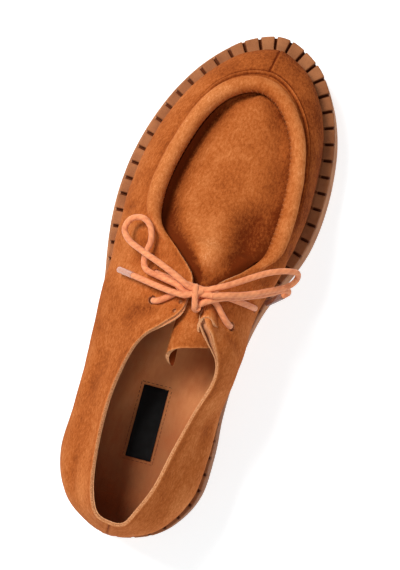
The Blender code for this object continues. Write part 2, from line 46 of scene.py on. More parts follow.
photoView = {
    "place": (0.069, -0.0545, 1.0),
    "aim": (0.003, 0.0016, 0.0),
    "lean": 19.62,  # degrees that the toe leans to the right
    "lens": 119.0,
}
studio = {
    "worldColour": (0.975, 0.99, 1.0, 1.0),
    "worldStrength": 0.27,
    "floorSize": 12.0,
    "lightAim": (0.0, 0.0, 0.03),
    "lights": {  # place, size, power, colour
        "keyLight": ((-0.84, 0.4, 1.55), 0.6, 29.0, (1.0, 0.985, 0.96)),
        "fillLight": ((0.7, -1.1, 1.5), 1.4, 11.5, (0.97, 0.98, 1.0)),
    },
}


def lookAt(place, aim, lean=0.0):
    ahead = (Vector(aim) - Vector(place)).normalized()
    turn = math.radians(lean)
    right = ahead.cross(Vector((-math.sin(turn), math.cos(turn), 0.0))).normalized()
    return Matrix((right, right.cross(ahead), -ahead)).transposed().to_euler()


def addArea(name, place, size, power, colour):
    bpy.ops.object.light_add(type="AREA", location=place, rotation=lookAt(place, studio["lightAim"]))
    lamp = bpy.context.active_object
    lamp.name = name
    lamp.data.size = size
    lamp.data.energy = power
    lamp.data.color = colour


def buildStudio():
    bpy.ops.object.select_all(action="DESELECT")
    bpy.ops.object.camera_add(
        location=photoView["place"],
        rotation=lookAt(photoView["place"], photoView["aim"], photoView["lean"]),
    )
    camera = bpy.context.active_object
    camera.data.lens = photoView["lens"]
    bpy.context.scene.camera = camera
    for name, light in studio["lights"].items():
        addArea(name, *light)
    world = bpy.data.worlds.new("softStudio")
    world.use_nodes = True
    sky = world.node_tree.nodes["Background"]
    sky.inputs["Color"].default_value = studio["worldColour"]
    sky.inputs["Strength"].default_value = studio["worldStrength"]
    bpy.context.scene.world = world
    bpy.context.scene.view_settings.view_transform = "Standard"
    bpy.ops.mesh.primitive_plane_add(size=studio["floorSize"], location=(0, 0, 0))
    floor = bpy.context.active_object
    floor.name = "floor"
    floor.data.materials.append(floorFinish())
    print("camera, lights and floor set")


# finishes

class Wire:
    def __init__(self, tree, socket=None):
        self.tree = tree
        self.socket = socket

    def node(self, kind, settings, sockets, out=0):
        made = self.tree.nodes.new(kind)
        for name, value in settings.items():
            setattr(made, name, value)
        for name, value in sockets.items():
            if isinstance(value, Wire):
                self.tree.links.new(value.socket, made.inputs[name])
            else:
                made.inputs[name].default_value = value
        return Wire(self.tree, made.outputs[out])

    def math(self, kind, first, second=0.0):
        return self.node("ShaderNodeMath", {"operation": kind}, {0: first, 1: second})

    def __add__(self, other):
        return self.math("ADD", self, other)

    def __sub__(self, other):
        return self.math("SUBTRACT", self, other)

    def __mul__(self, other):
        return self.math("MULTIPLY", self, other)

    __radd__ = __add__
    __rmul__ = __mul__

    def attribute(self, name):
        return self.node("ShaderNodeAttribute", {"attribute_name": name}, {}, out="Fac")

    def clamp(self):
        return self.node("ShaderNodeClamp", {}, {"Value": self})

    def spread(self, low, high, newLow=0.0, newHigh=1.0):
        return self.node(
            "ShaderNodeMapRange",
            {"interpolation_type": "SMOOTHSTEP"},
            {"Value": self, "From Min": low, "From Max": high, "To Min": newLow, "To Max": newHigh},
        )

    def noise(self, scale, detail=2.0, roughness=0.5, distortion=0.0):
        return self.node(
            "ShaderNodeTexNoise",
            {},
            {"Vector": self, "Scale": scale, "Detail": detail, "Roughness": roughness,
             "Distortion": distortion},
        )

    def stretch(self, scale):
        return self.node("ShaderNodeMapping", {}, {"Vector": self, "Scale": scale})

    def blend(self, first, second):
        return self.node("ShaderNodeMix", {"data_type": "RGBA"}, {"Factor": self, 6: first, 7: second}, out=2)

    def ramp(self, *stops):
        made = self.node("ShaderNodeValToRGB", {}, {"Fac": self})
        elements = made.socket.node.color_ramp.elements
        for place, colour in stops[1:-1]:
            elements.new(place)
        for element, (place, colour) in zip(elements, stops):
            element.position = place
            element.color = colour
        return made

    def bump(self, strength, distance):
        return self.node("ShaderNodeBump", {}, {"Height": self, "Strength": strength, "Distance": distance})


def tint(red, green, blue):
    shares = (red / 255, green / 255, blue / 255)
    return tuple(c / 12.92 if c <= 0.04045 else ((c + 0.055) / 1.055) ** 2.4 for c in shares) + (1.0,)


def newFinish(name, **fixed):
    made = bpy.data.materials.new(name)
    made.use_nodes = True
    shader = made.node_tree.nodes["Principled BSDF"]
    for socket, value in fixed.items():
        shader.inputs[socket.replace("_", " ")].default_value = value
    coords = Wire(made.node_tree).node("ShaderNodeTexCoord", {}, {}, out="Object")
    return made, coords


def plug(made, **sockets):
    shader = made.node_tree.nodes["Principled BSDF"]
    for socket, wire in sockets.items():
        made.node_tree.links.new(wire.socket, shader.inputs[socket.replace("_", " ")])
    return made


def floorFinish():
    made, coords = newFinish(
        "paleFloor", Roughness=0.8, Emission_Color=(1, 1, 1, 1), Emission_Strength=0.6, Specular_IOR_Level=0.1
    )
    mottle = coords.noise(3.0)
    return plug(made, Base_Color=mottle.blend((0.735, 0.775, 0.79, 1), (0.755, 0.795, 0.81, 1)))


suede = {
    "dark": (106, 42, 13),
    "mid": (173, 91, 40),
    "light": (206, 126, 71),
    "edge": (222, 158, 110),
    "sheen": 0.02,
    "sheenTint": (240, 180, 120),
}


def suedeFinish(name, shift=0.0):
    made, coords = newFinish(
        name,
        Roughness=0.93,
        Sheen_Weight=suede["sheen"],
        Sheen_Roughness=0.45,
        Sheen_Tint=tint(*suede["sheenTint"]),
        Specular_IOR_Level=0.03,
    )
    patches = coords.noise(38.0, 3.0, 0.55, 0.6)  # brushed areas
    clouds = coords.noise(170.0, 4.0, 0.6, 0.3)
    nap = coords.stretch((1.0, 0.55, 1.0)).noise(900.0, 3.0, 0.65)
    fibre = coords.noise(2600.0, 2.0, 0.7)
    depth = (patches - 0.5) * 0.45 + (clouds - 0.5) * 0.3 + (nap - 0.5) * 0.8 + (fibre - 0.5) * 0.6
    # the nap attribute holds the nap's own tone and pale raw edges, and much painted light and shade: painted
    # shade in hollows, creases, cast shadows and on sides turned from the lamp, painted highlights on crests
    depth = depth + coords.attribute("nap") * 0.55 + (0.5 + shift)
    shade = depth.ramp(
        (0.0, tint(*suede["dark"])),
        (0.45, tint(*suede["mid"])),
        (0.8, tint(*suede["light"])),
        (1.0, tint(*suede["edge"])),
    )
    relief = nap * 0.6 + fibre * 0.5 + clouds * 0.7
    rough = fibre.spread(0.3, 0.7, 0.88, 0.98)
    return plug(made, Base_Color=shade, Roughness=rough, Normal=relief.bump(0.35, 0.0009))


def rawEdgeFinish(name, dark, light):
    made, coords = newFinish(name, Roughness=0.95, Specular_IOR_Level=0.15)
    fray = coords.noise(1600.0, 4.0, 0.7)
    shade = fray.spread(0.3, 0.7).blend(tint(*dark), tint(*light))
    return plug(made, Base_Color=shade, Normal=fray.bump(0.6, 0.0006))


# colour of the painted shade in the lining and on the insole
leather = {"dirtAndPaintedShade": (94, 37, 10), "gloss": (0.5, 0.68)}  # roughness from, to


def liningFinish(name, dark, light):
    made, coords = newFinish(name, Specular_IOR_Level=0.12)
    grain = coords.node(
        "ShaderNodeTexVoronoi", {"feature": "DISTANCE_TO_EDGE"}, {"Vector": coords, "Scale": 1300.0}
    )
    patches = coords.noise(45.0, 3.0, 0.6)
    scuff = coords.stretch((1.0, 0.3, 1.0)).noise(420.0, 3.0, 0.6)
    shade = (patches * 0.7 + scuff * 0.3).spread(0.3, 0.7).blend(tint(*dark), tint(*light))
    # painted shade in the lining and on the insole, from the attribute, mottled
    dirtAndPaintedShade = (coords.attribute("dirtAndPaintedShade") * (0.7 + 0.6 * patches)).clamp()
    relief = grain.spread(0.0, 0.25) + scuff * 0.5
    return plug(
        made,
        Base_Color=dirtAndPaintedShade.blend(shade, tint(*leather["dirtAndPaintedShade"])),
        Roughness=scuff.spread(0.3, 0.75, *leather["gloss"]),
        Normal=relief.bump(0.22, 0.00025),
    )


# colour of the dirt on the sole's low parts and of the painted shade in the welt's grooves and on the medial
# side
rubber = {"dirtAndPaintedShade": (98, 46, 19), "gloss": (0.58, 0.74)}  # roughness from, to


def rubberFinish(name, dark, light):
    made, coords = newFinish(name, Specular_IOR_Level=0.08)
    cast = coords.noise(60.0, 3.0, 0.6)
    grit = coords.noise(1900.0, 2.0, 0.6)
    # dirt, and painted shade in grooves and on the medial side, from the attribute
    dirtAndPaintedShade = coords.attribute("dirtAndPaintedShade").clamp()
    shade = (cast * 0.7 + grit * 0.3).spread(0.32, 0.68).blend(tint(*dark), tint(*light))
    return plug(
        made,
        Base_Color=dirtAndPaintedShade.blend(shade, tint(*rubber["dirtAndPaintedShade"])),
        Roughness=grit.spread(0.3, 0.7, *rubber["gloss"]),
        Normal=grit.bump(0.25, 0.0003),
    )


lace = {"dark": (204, 114, 70), "light": (244, 160, 108), "twist": 0.8, "strands": 3.0}


def laceFinish():
    made, coords = newFinish("waxedCord", Specular_IOR_Level=0.3, Sheen_Weight=0.12)
    route = coords.node("ShaderNodeUVMap", {"uv_map": "UVMap"}, {})
    aroundIt = route.node("ShaderNodeSeparateXYZ", {}, {0: route}, out=0)
    alongIt = route.node("ShaderNodeSeparateXYZ", {}, {0: route}, out=1)
    turn = (aroundIt * lace["strands"] + alongIt * lace["twist"]) * (2 * math.pi)
    strand = turn.math("SINE", turn) * 0.5 + 0.5
    wax = coords.noise(240.0, 3.0, 0.6)
    fuzz = coords.noise(2300.0, 2.0, 0.7)
    depth = (strand * 0.1 + wax * 0.6 + fuzz * 0.35).spread(0.25, 0.8)
    return plug(
        made,
        Base_Color=depth.blend(tint(*lace["dark"]), tint(*lace["light"])),
        Roughness=wax.spread(0.3, 0.7, 0.55, 0.8),
        Normal=(strand * 0.25 + fuzz * 0.7).bump(0.35, 0.0003),
    )


def agletFinish(name, dark, light):
    made, coords = newFinish(
        name, Roughness=0.22, Alpha=0.72, Specular_IOR_Level=0.6, Coat_Weight=0.5, Coat_Roughness=0.1
    )
    haze = coords.noise(700.0, 3.0, 0.6)
    return plug(made, Base_Color=haze.blend(tint(*dark), tint(*light)))


def labelFinish():
    made, coords = newFinish("plainBlackLabel", Specular_IOR_Level=0.12)
    weave = coords.node(
        "ShaderNodeTexWave",
        {"wave_type": "BANDS", "bands_direction": "Y"},
        {"Vector": coords, "Scale": 900.0},
    )
    worn = coords.noise(300.0, 3.0)
    return plug(
        made,
        Base_Color=worn.blend(tint(10, 10, 11), tint(20, 19, 19)),
        Roughness=worn.spread(0.3, 0.7, 0.5, 0.7),
        Normal=weave.bump(0.15, 0.0001),
    )


def threadFinish(name, dark, light):
    made, coords = newFinish(name, Roughness=0.8, Specular_IOR_Level=0.2)
    twist = coords.noise(2200.0, 2.0)
    return plug(made, Base_Color=twist.blend(tint(*dark), tint(*light)))


# small tools

def pick(*pieces):
    if bpy.context.mode != "OBJECT":
        bpy.ops.object.mode_set(mode="OBJECT")
    bpy.ops.object.select_all(action="DESELECT")
    for piece in pieces:
        piece.select_set(True)
    bpy.context.view_layer.objects.active = pieces[0]


def modify(piece, kind, **settings):
    pick(piece)
    bpy.ops.object.modifier_add(type=kind)
    modifier = piece.modifiers[-1]
    for name, value in settings.items():
        setattr(modifier, name, value)
    bpy.ops.object.modifier_apply(modifier=modifier.name)


def editAll(piece, step, **settings):
    # one edit-mode step on the whole mesh
    pick(piece)
    bpy.ops.object.mode_set(mode="EDIT")
    bpy.ops.mesh.select_all(action="SELECT")
    step(**settings)
    bpy.ops.object.mode_set(mode="OBJECT")


def mergePoints(piece, distance=0.00002):
    editAll(piece, bpy.ops.mesh.remove_doubles, threshold=distance)
    editAll(piece, bpy.ops.mesh.delete_loose)


def turnOutwards(piece):
    editAll(piece, bpy.ops.mesh.normals_make_consistent, inside=False)


def faceAlong(piece, axis, faces=None):
    # turns the whole mesh over if these faces look back along an axis
    if sum(face.normal[axis] for face in faces or piece.data.polygons) < 0:
        editAll(piece, bpy.ops.mesh.flip_normals)


def smoothFaces(piece, angle):
    pick(piece)
    bpy.ops.object.shade_smooth_by_angle(angle=math.radians(angle))


def thicken(piece, thickness, **settings):
    modify(piece, "SOLIDIFY", thickness=thickness * mm, offset=-1.0, **settings)
    smoothFaces(piece, 50.0)


def joinPieces(parts, name):
    pick(*parts)
    bpy.ops.object.join()
    parts[0].name = name
    return parts[0]


def addFinishes(piece, finishes):
    for finish in finishes:
        piece.data.materials.append(finish)


def drapedGrid(name, points, attribute, values, finishes):
    # a flat grid laid on rows of points: points[along][across], in mm
    alongCount, acrossCount = points.shape[:2]
    bpy.ops.object.select_all(action="DESELECT")
    bpy.ops.mesh.primitive_grid_add(
        x_subdivisions=acrossCount - 1, y_subdivisions=alongCount - 1, size=2.0, location=(0, 0, 0)
    )
    piece = bpy.context.active_object
    piece.name = name
    piece.data.name = name
    flat = np.empty(len(piece.data.vertices) * 3, np.float32)
    piece.data.vertices.foreach_get("co", flat)
    flat = flat.reshape(-1, 3)
    column = np.rint((flat[:, 0] + 1) / 2 * (acrossCount - 1)).astype(int)
    line = np.rint((flat[:, 1] + 1) / 2 * (alongCount - 1)).astype(int)
    laid = points[line, column] * mm
    piece.data.vertices.foreach_set("co", laid.astype(np.float32).ravel())
    made = piece.data.attributes.new(attribute, "FLOAT", "POINT")
    made.data.foreach_set("value", values[line, column].astype(np.float32))
    piece.data.update()
    addFinishes(piece, finishes)
    return piece


def finishPiece(piece, slot, *nodes):
    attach(piece, "root")
    if nodes:
        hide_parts(*nodes)
    print(piece.name + ":", len(piece.data.polygons), "faces")
    return piece


def softNoise(points, size):
    flat = points.reshape(-1, 3) / size
    return np.array([noise.noise(Vector(point)) for point in flat]).reshape(points.shape[:-1])


def smoothStep(value, low, high):
    share = np.clip((value - low) / (high - low), 0.0, 1.0)
    return share * share * (3 - 2 * share)


def between(value, start, full, fade, end):
    return smoothStep(value, start, full) * (1 - smoothStep(value, fade, end))


def hump(value, middle, width):
    return np.exp(-(((value - middle) / width) ** 2))


def unit(vectors):
    return vectors / np.linalg.norm(vectors, axis=-1, keepdims=True)


def raised(flat, z):
    # points on the floor plan lifted to a height
    return np.concatenate([flat, np.broadcast_to(z, flat.shape[:-1])[..., None]], axis=-1)


def runLength(line):
    # distance along a line of points, from its start
    return np.concatenate([[0], np.cumsum(np.linalg.norm(np.diff(line, axis=0), axis=1))])


def catmullRom(before, start, end, after, share):
    return 0.5 * (
        2 * start
        + (end - before) * share
        + (2 * before - 5 * start + 4 * end - after) * share**2
        + (3 * start - before - 3 * end + after) * share**3
    )


def smoothLine(points, steps):
    # a smooth line through rows of any shape, each gap in this many steps
    points = np.array(points, float)
    padded = np.concatenate([[2 * points[0] - points[1]], points, [2 * points[-1] - points[-2]]])
    line = [
        catmullRom(*padded[i:i + 4], share)
        for i in range(len(points) - 1)
        for share in np.arange(steps) / steps
    ]
    return np.array(line + [points[-1]])


def evenly(line, spacing):
    length = runLength(line)
    wanted = np.linspace(0, length[-1], max(4, round(length[-1] / spacing) + 1))
    return np.stack([np.interp(wanted, length, line[:, i]) for i in range(3)], axis=1)


# the shoe's form, heel to toe, in mm

lastColumns = "edgeY edgeLat edgeMed inset topY topLat topMed topZ flare lean roll".split()
lastForm = {
    "heelBack": (-137.5, 3.3, 3.3, 4.2, -126.8, 6.5, 6.5, 90.0, 11, 14, 0),
    "heelTurn": (-131.0, -17.0, 24.0, 4.4, -125.0, -1.5, 13.5, 89.3, 14, 15, 0),
    "heelCorner": (-119.5, -28.8, 35.2, 4.6, -116.5, -7.3, 17.4, 87.0, 17, 18, 0),
    "heelSide": (-103.0, -35.3, 41.7, 4.6, -103.0, -11.5, 21.5, 82.5, 20, 22, 0),
    "heelBreast": (-82.0, -36.5, 41.3, 4.2, -83.0, -15.0, 24.0, 79.3, 22, 24, 0),
    "waistBack": (-62.0, -37.9, 38.8, 3.6, -64.0, -15.8, 27.2, 79.0, 21, 24, 0),
    "waist": (-46.0, -39.5, 37.6, 3.5, -47.0, -13.9, 31.0, 81.7, 22, 26, 0),
    "collarBend": (-34.0, -40.8, 37.3, 3.5, -36.0, -9.8, 29.7, 85.8, 21, 34, 0),
    "collarFront": (-25.0, -42.1, 37.6, 3.6, -27.5, -2.7, 23.5, 90.0, 20, 46, 0),
    "facingCorner": (-16.5, -43.8, 38.2, 4.0, -18.5, 4.2, 16.0, 92.0, 18, 58, 0),
    "facing": (-8.0, -45.8, 39.3, 4.6, -9.5, 5.2, 14.6, 89.6, 18, 62, 0),
    "throatPoint": (0.0, -48.0, 41.0, 5.4, 0.0, 3.2, 17.0, 85.4, 18, 62, 0),
    "throatSide": (11.0, -50.6, 44.6, 6.8, 9.5, -7.5, 25.5, 79.3, 19, 60, 0.6),
    "throatStart": (23.0, -52.6, 49.0, 8.0, 20.5, -20.0, 32.2, 71.0, 14, 58, 3.6),
    "ballBack": (38.0, -53.7, 52.7, 8.5, 34.0, -24.2, 33.0, 65.0, 8, 58, 6.0),
    "ball": (56.0, -53.0, 53.7, 8.5, 48.5, -24.4, 32.2, 61.0, 6, 60, 6.4),
    "forefoot": (76.0, -49.3, 52.0, 8.5, 64.0, -22.3, 30.0, 58.0, 7, 62, 6.4),
    "toeSide": (96.0, -42.4, 47.4, 8.7, 79.0, -18.6, 25.7, 56.0, 10, 64, 6.4),
    "toeCorner": (114.0, -32.0, 38.9, 9.3, 90.5, -12.8, 18.7, 54.6, 17, 66, 6.4),
    "toeTurn": (129.5, -17.0, 25.5, 10.3, 97.7, -5.0, 10.8, 53.8, 24, 68, 6.4),
    "toe": (137.5, 4.0, 4.0, 10.5, 100.3, 3.0, 3.0, 53.5, 26, 68, 6.4),
}
throatRow = list(lastForm).index("throatStart")
toeRow = len(lastForm) - 1
allRows = 2 * toeRow
gap = 0.3
wall = 1.8


def roundTheShoe(lateral, medial):
    there = [row[lastColumns.index(medial)] for row in lastForm.values()]
    back = [row[lastColumns.index(lateral)] for row in lastForm.values()]
    return np.array(there + back[-2:0:-1], float)


lastRing = {name: roundTheShoe(name, name) for name in lastColumns}
lastRing["edgeX"] = roundTheShoe("edgeLat", "edgeMed")
lastRing["topX"] = roundTheShoe("topLat", "topMed")


def readLast(column, row):
    # heel 0, medial side, toe 20, lateral side, heel 40
    values = lastRing[column]
    row = np.asarray(row, float)
    first = np.floor(row).astype(int)
    near = [values[(first + step) % len(values)] for step in (-1, 0, 1, 2)]
    return catmullRom(*near, row - first)


def edgePoint(row):
    return np.stack([readLast("edgeX", row), readLast("edgeY", row)], axis=-1)


def edgeInward(row):
    along = unit(edgePoint(row + 0.05) - edgePoint(row - 0.05))
    return np.stack([-along[..., 1], along[..., 0]], axis=-1)


def edgeAt(row, inset):
    row = np.asarray(row, float)
    return edgePoint(row) + edgeInward(row) * np.asarray(inset, float)[..., None]


def topPoint(row):
    return np.stack([readLast(column, row) for column in ("topX", "topY", "topZ")], axis=-1)


def rollShare(row):
    return smoothStep(readLast("roll", row), 0.0, 6.0)[:, None]


sole = {
    "thickness": 25.0, "heelLift": 9.0, "liftStart": 15.0, "liftEnd": -105.0,
    "toeSpring": 7.0, "springStart": 68.0, "halfLength": 137.5,
    "archHeight": 9.0, "heelBreast": -76.0, "archTop": -62.0, "archEnd": 6.0,
    "sideRun": 0.85,  # of the welt's setback
    "lateralRun": 0.9,  # share of that run which the lateral side does without
    "chamfer": 3.0, "cells": 26,
    "lugWidth": 5.0, "lugDepth": 3.5, "lugMargin": 11.0, "lugBelow": 4.0,
    "lugs": (-121.0, -109.0, -97.0, -85.0, 14.0, 27.0, 40.0, 53.0, 66.0, 79.0, 92.0, 105.0),
    # dirt below this height, and painted shade on the medial side
    "soilBelow": 10.0, "medialPaintedShade": 0.4,
}
weltForm = {
    "height": 9.0, "under": 4.0,  # mm that it runs in under the upper
    "setback": 0.9, "medialSetback": 1.3, "lateralSetback": 1.0,
    "grooves": 72, "grooveShare": 0.16, "grooveDepth": 3.0, "grooveEnd": 1.3, "grooveBack": 0.35,
    # a little darker on the top, and painted shade on the medial side
    "topDarkening": 0.2, "medialPaintedShade": 0.4,
}


def toeLift(y):
    run = np.maximum(0.0, (y - sole["springStart"]) / (sole["halfLength"] - sole["springStart"]))
    return sole["toeSpring"] * run**2


def weltTop(y):
    heel = smoothStep(-y, -sole["liftStart"], -sole["liftEnd"])
    return sole["thickness"] + sole["heelLift"] * heel + toeLift(y)


def treadHeight(y):
    rise = smoothStep(y, sole["heelBreast"], sole["archTop"])
    fall = 1 - smoothStep(y, sole["archTop"], sole["archEnd"])
    return sole["archHeight"] * np.minimum(rise, fall) + toeLift(y)


def lateralSide(row):
    return between(row, 19.5, 22.0, 38.0, 39.6)


def medialShade(row, last):
    # painted shade on the medial rubber, from the heel to this row
    return between(row, 0.3, 1.5, last - 2.5, last)


def weltSetback(row):
    medial = weltForm["medialSetback"] * hump(row, 15.5, 4.5)
    return weltForm["setback"] + medial + weltForm["lateralSetback"] * lateralSide(row)


# the upper's wall

wallForm = {
    "belly": 0.38,  # how far the curve's handles reach, of the wall's height
    "shoulder": 0.42,
    "samples": 90,
    "lift": 0.3 * gap,  # of its foot over the welt
    "rollWidth": 9.5,
    "rollMiddle": 4.2,  # mm down from the seam with the apron
    "rollRadius": 4.3,
    "rollLift": 2.0,
    "rollOuter": -25.0,  # degrees round the roll, from its foot on the vamp over to the apron
    "rollInner": 258.0,
}


def wallCurves(row):
    # the upper's wall at each row, from its top edge down, with its outward normals
    plan = edgeAt(row, readLast("inset", row))
    foot = raised(plan, weltTop(plan[..., 1]) + wallForm["lift"])
    top = topPoint(row)
    outward = raised(-edgeInward(row), 0.0)
    inward = unit((top - foot) * (1, 1, 0))
    up = np.array([0.0, 0.0, 1.0])
    height = np.linalg.norm(top - foot, axis=-1)[..., None]
    flare = np.radians(readLast("flare", row))[..., None]
    lean = np.radians(readLast("lean", row))[..., None]
    belly = foot + wallForm["belly"] * height * (outward * np.sin(flare) + up * np.cos(flare))
    shoulder = top - wallForm["shoulder"] * height * (inward * np.sin(lean) + up * np.cos(lean))
    share = np.linspace(0, 1, wallForm["samples"])[None, :, None]
    left = 1 - share
    top, shoulder, belly, foot = (part[:, None, :] for part in (top, shoulder, belly, foot))
    curve = top * left**3 + 3 * shoulder * left**2 * share + 3 * belly * left * share**2 + foot * share**3
    normal = unit(np.cross(np.gradient(curve, axis=1), np.cross(-outward, up)[:, None, :]))
    steps = np.linalg.norm(np.diff(curve, axis=1), axis=-1)
    length = np.concatenate([np.zeros((len(row), 1)), np.cumsum(steps, axis=1)], axis=1)
    return curve, normal, length


def wallAt(row, reach):
    # points and normals on the wall, reach[station][line] mm down from the top edge, roll included
    curve, normal, length = wallCurves(row)
    middle = np.full((len(row), 1), wallForm["rollMiddle"])
    wanted = np.concatenate([reach, middle, middle - 0.4, middle + 0.4], axis=1)
    points = np.empty(wanted.shape + (3,))
    facing = np.empty(wanted.shape + (3,))
    for station in range(len(row)):
        for axis in range(3):
            points[station, :, axis] = np.interp(wanted[station], length[station], curve[station, :, axis])
            facing[station, :, axis] = np.interp(wanted[station], length[station], normal[station, :, axis])
    facing = unit(facing)
    rise = unit(curve[:, 0] - curve[:, 1])
    points += np.maximum(0.0, -wanted)[..., None] * rise[:, None]
    up = unit(points[:, -2] - points[:, -1])[:, None]
    base, out = points[:, -3][:, None], facing[:, -3][:, None]
    points, facing = points[:, :-3], facing[:, :-3]
    share = np.clip(reach / wallForm["rollWidth"], 0.0, 1.0)
    turn = wallForm["rollInner"] + (wallForm["rollOuter"] - wallForm["rollInner"]) * share
    turn = np.radians(turn)[..., None]
    ringWay = np.sin(turn) * out - np.cos(turn) * up
    tube = base + out * wallForm["rollLift"] + ringWay * wallForm["rollRadius"]
    roll = rollShare(row) * (reach <= wallForm["rollWidth"])
    points = points + (tube - points) * roll[..., None]
    facing = unit(facing + (ringWay - facing) * roll[..., None])
    return points, facing, roll


def wallLength(row):
    return wallCurves(row)[2][:, -1]


def onWall(row, down, lift):
    points, facing, roll = wallAt(np.array([row], float), np.array([[down]], float))
    return points[0, 0] + facing[0, 0] * lift


def lineDistance(points, line):
    # distance in mm from each point to a line of points, and the share along it
    best = np.full(points.shape[:-1], 1e9)
    where = np.zeros(points.shape[:-1])
    for index, (start, end) in enumerate(zip(line[:-1], line[1:])):
        step = end - start
        share = np.clip(((points - start) @ step) / (step @ step), 0, 1)
        far = np.linalg.norm(points - start - share[..., None] * step, axis=-1)
        nearer = far < best
        best = np.where(nearer, far, best)
        where = np.where(nearer, (index + share) / (len(line) - 1), where)
    return best, where


# the suede's relief and nap: each function gives mm out of the wall, and a lighter or darker nap, which is
# partly the nap's own tone and mostly painted light and shade

pinchForm = {"down": 13.5, "height": 0.8, "ditch": 0.45, "rows": (13.8, 15.4, 22.0, 23.4)}


def pinchedLine(rows, reach, points, roll):
    # the fine pinched line outside the roll, round the toe, and the roll's foot on the vamp
    shown = between(rows, *pinchForm["rows"])
    across = reach + 0.3 * softNoise(points, 12.0) - pinchForm["down"]
    ridge = hump(across, 0.0, 0.5)
    ditch = hump(across, -1.2, 0.5) + hump(across, 1.0, 0.4)
    past = reach - wallForm["rollWidth"]
    foot = roll * hump(past, 0.5, 1.0)
    relief = shown * (pinchForm["height"] * ridge - pinchForm["ditch"] * ditch) - 0.35 * foot
    # painted highlight on the pinched ridge, painted shade in its ditches and along the roll's foot, and,
    # away from the toe, the roll's painted shadow on the vamp beside it
    nap = shown * (0.35 * ridge - 0.7 * ditch) - 0.45 * foot
    return relief, nap - 0.3 * roll * hump(past, 3.0, 3.0) * (1 - shown)


seamForm = {
    "toeX": ((10.0, 36.0), (3.0, 4.1)),  # mm down from the top edge, x there
    "toeY": (92.0, 96.0),
    "heelX": ((0.0, 60.0), (6.5, 3.3)),
    "heelY": (-118.0, -112.0),
    "depth": 0.5,
}


def wallSeams(reach, points):
    x, y = points[..., 0], points[..., 1]
    aside = x - np.interp(reach, *seamForm["toeX"]) + 0.2 * softNoise(points, 5.0)
    mask = smoothStep(y, *seamForm["toeY"]) * smoothStep(reach, pinchForm["down"], pinchForm["down"] + 1.0)
    lap = 0.35 * np.exp(-np.maximum(aside, 0) / 4.0) * (aside > 0)  # one side lies over the other
    relief = mask * (lap - seamForm["depth"] * hump(aside, 0, 0.4))
    nap = mask * (0.2 * hump(aside, 0.9, 0.5) - 0.9 * hump(aside, -0.1, 0.45))
    aside = x - np.interp(reach, *seamForm["heelX"])
    mask = (1 - smoothStep(y, *seamForm["heelY"])) * smoothStep(reach, 0.8, 4.0)
    relief += mask * (0.25 * hump(np.abs(aside), 1.8, 0.9) - seamForm["depth"] * hump(aside, 0, 0.45))
    nap += mask * (0.15 * hump(np.abs(aside), 1.6, 0.8) - 0.7 * hump(aside, 0, 0.5))
    return relief, nap


creases = (
    # places (row, mm down from the top edge), width, depth
    (((27.6, 13), (28.2, 24), (28.5, 38)), 4.0, 0.75),
    (((28.6, 16), (29.0, 30), (29.2, 44)), 3.6, 0.6),
    (((26.3, 14), (26.8, 26), (27.1, 36)), 3.4, 0.45),
    (((12.2, 14), (11.6, 26), (11.3, 38)), 3.8, 0.65),
    (((13.6, 15), (13.2, 26), (13.0, 36)), 3.4, 0.5),
    (((8.6, 10), (8.3, 17), (7.9, 26)), 2.6, 0.7),
    (((9.3, 7), (9.6, 13), (10.0, 18)), 1.9, 0.6),
    (((31.2, 9), (31.8, 18), (32.4, 30)), 4.0, 0.6),
    (((34.0, 16), (34.9, 21), (35.8, 24)), 6.0, 0.9),
    (((36.6, 20), (37.6, 25), (38.4, 27)), 5.0, 0.6),
    (((3.2, 18), (4.2, 22), (5.2, 22)), 6.0, 0.7),
)


def handCreases(points):
    # a trough along each line, with a softer ridge on both sides
    relief = np.zeros(points.shape[:-1])
    nap = np.zeros(points.shape[:-1])
    for places, width, depth in creases:
        spots = np.array(places, float)
        line = wallAt(spots[:, 0], spots[:, 1:2])[0][:, 0]
        far, where = lineDistance(points, smoothLine(line, 6))
        fade = between(where, 0.0, 0.3, 0.7, 1.0)
        trough = hump(far, 0, width)
        relief += fade * depth * (0.55 * hump(far, 1.9 * width, width) - trough)
        # painted shade in each trough
        nap -= 0.3 * fade * trough
    return relief, nap


def rollRelief(rows, reach, points, roll):
    # small dents that the roll's stitches pull, with painted shade in them, a painted highlight on its crown,
    # painted shade along its inner edge, and darker at the toe
    seam = runLength(points[:, 0])[:, None]
    dents = np.maximum(0, -np.sin(2 * np.pi * seam / stitchForm["pitch"] + 2.0 * softNoise(points, 16.0)))
    sewn = roll * (0.25 + 0.75 * between(rows, 12.6, 13.6, 18.4, 20.0))
    relief = roll * 0.2 * softNoise(points, 6.0) * hump(reach, 4.8, 3.5)
    relief -= sewn * 0.4 * dents * hump(reach, 2.0, 1.0)
    nap = roll * (0.28 * hump(reach, 5.2, 2.2) - 0.3 * hump(reach, 0.0, 1.4) - 0.25 * hump(rows, 20.0, 1.5))
    return relief, nap - sewn * 0.5 * dents * hump(reach, 1.9, 0.9)


waist = {"tuck": 1.6, "rows": (26.2, 27.6, 29.4, 31.2), "shares": (0.3, 0.6, 0.88, 1.0)}


def waistTuck(row, share):
    # mm that the lateral waist is drawn in over the welt, by the share of the wall down from its top
    return waist["tuck"] * between(row, *waist["rows"]) * between(share, *waist["shares"])


def quarterRelief(rows, reach, share):
    # the medial facing's corner turns out in a small scroll, and the quarters behind are fuller
    curl = hump(rows, 9.0, 0.6) * (reach < 12)
    relief = 3.0 * curl * hump(reach, 2.6, 2.8) - 0.6 * curl * hump(reach, 8.0, 1.6)
    fuller = 0.4 * hump(rows, 37.2, 1.8) + 0.2 * hump(rows, 3.2, 1.8)
    relief += fuller * between(share, 0.2, 0.55, 0.75, 1.0)
    return relief + 0.6 * hump(rows, 24.0, 3.0) * smoothStep(share, 0.5, 0.85) - waistTuck(rows, share)


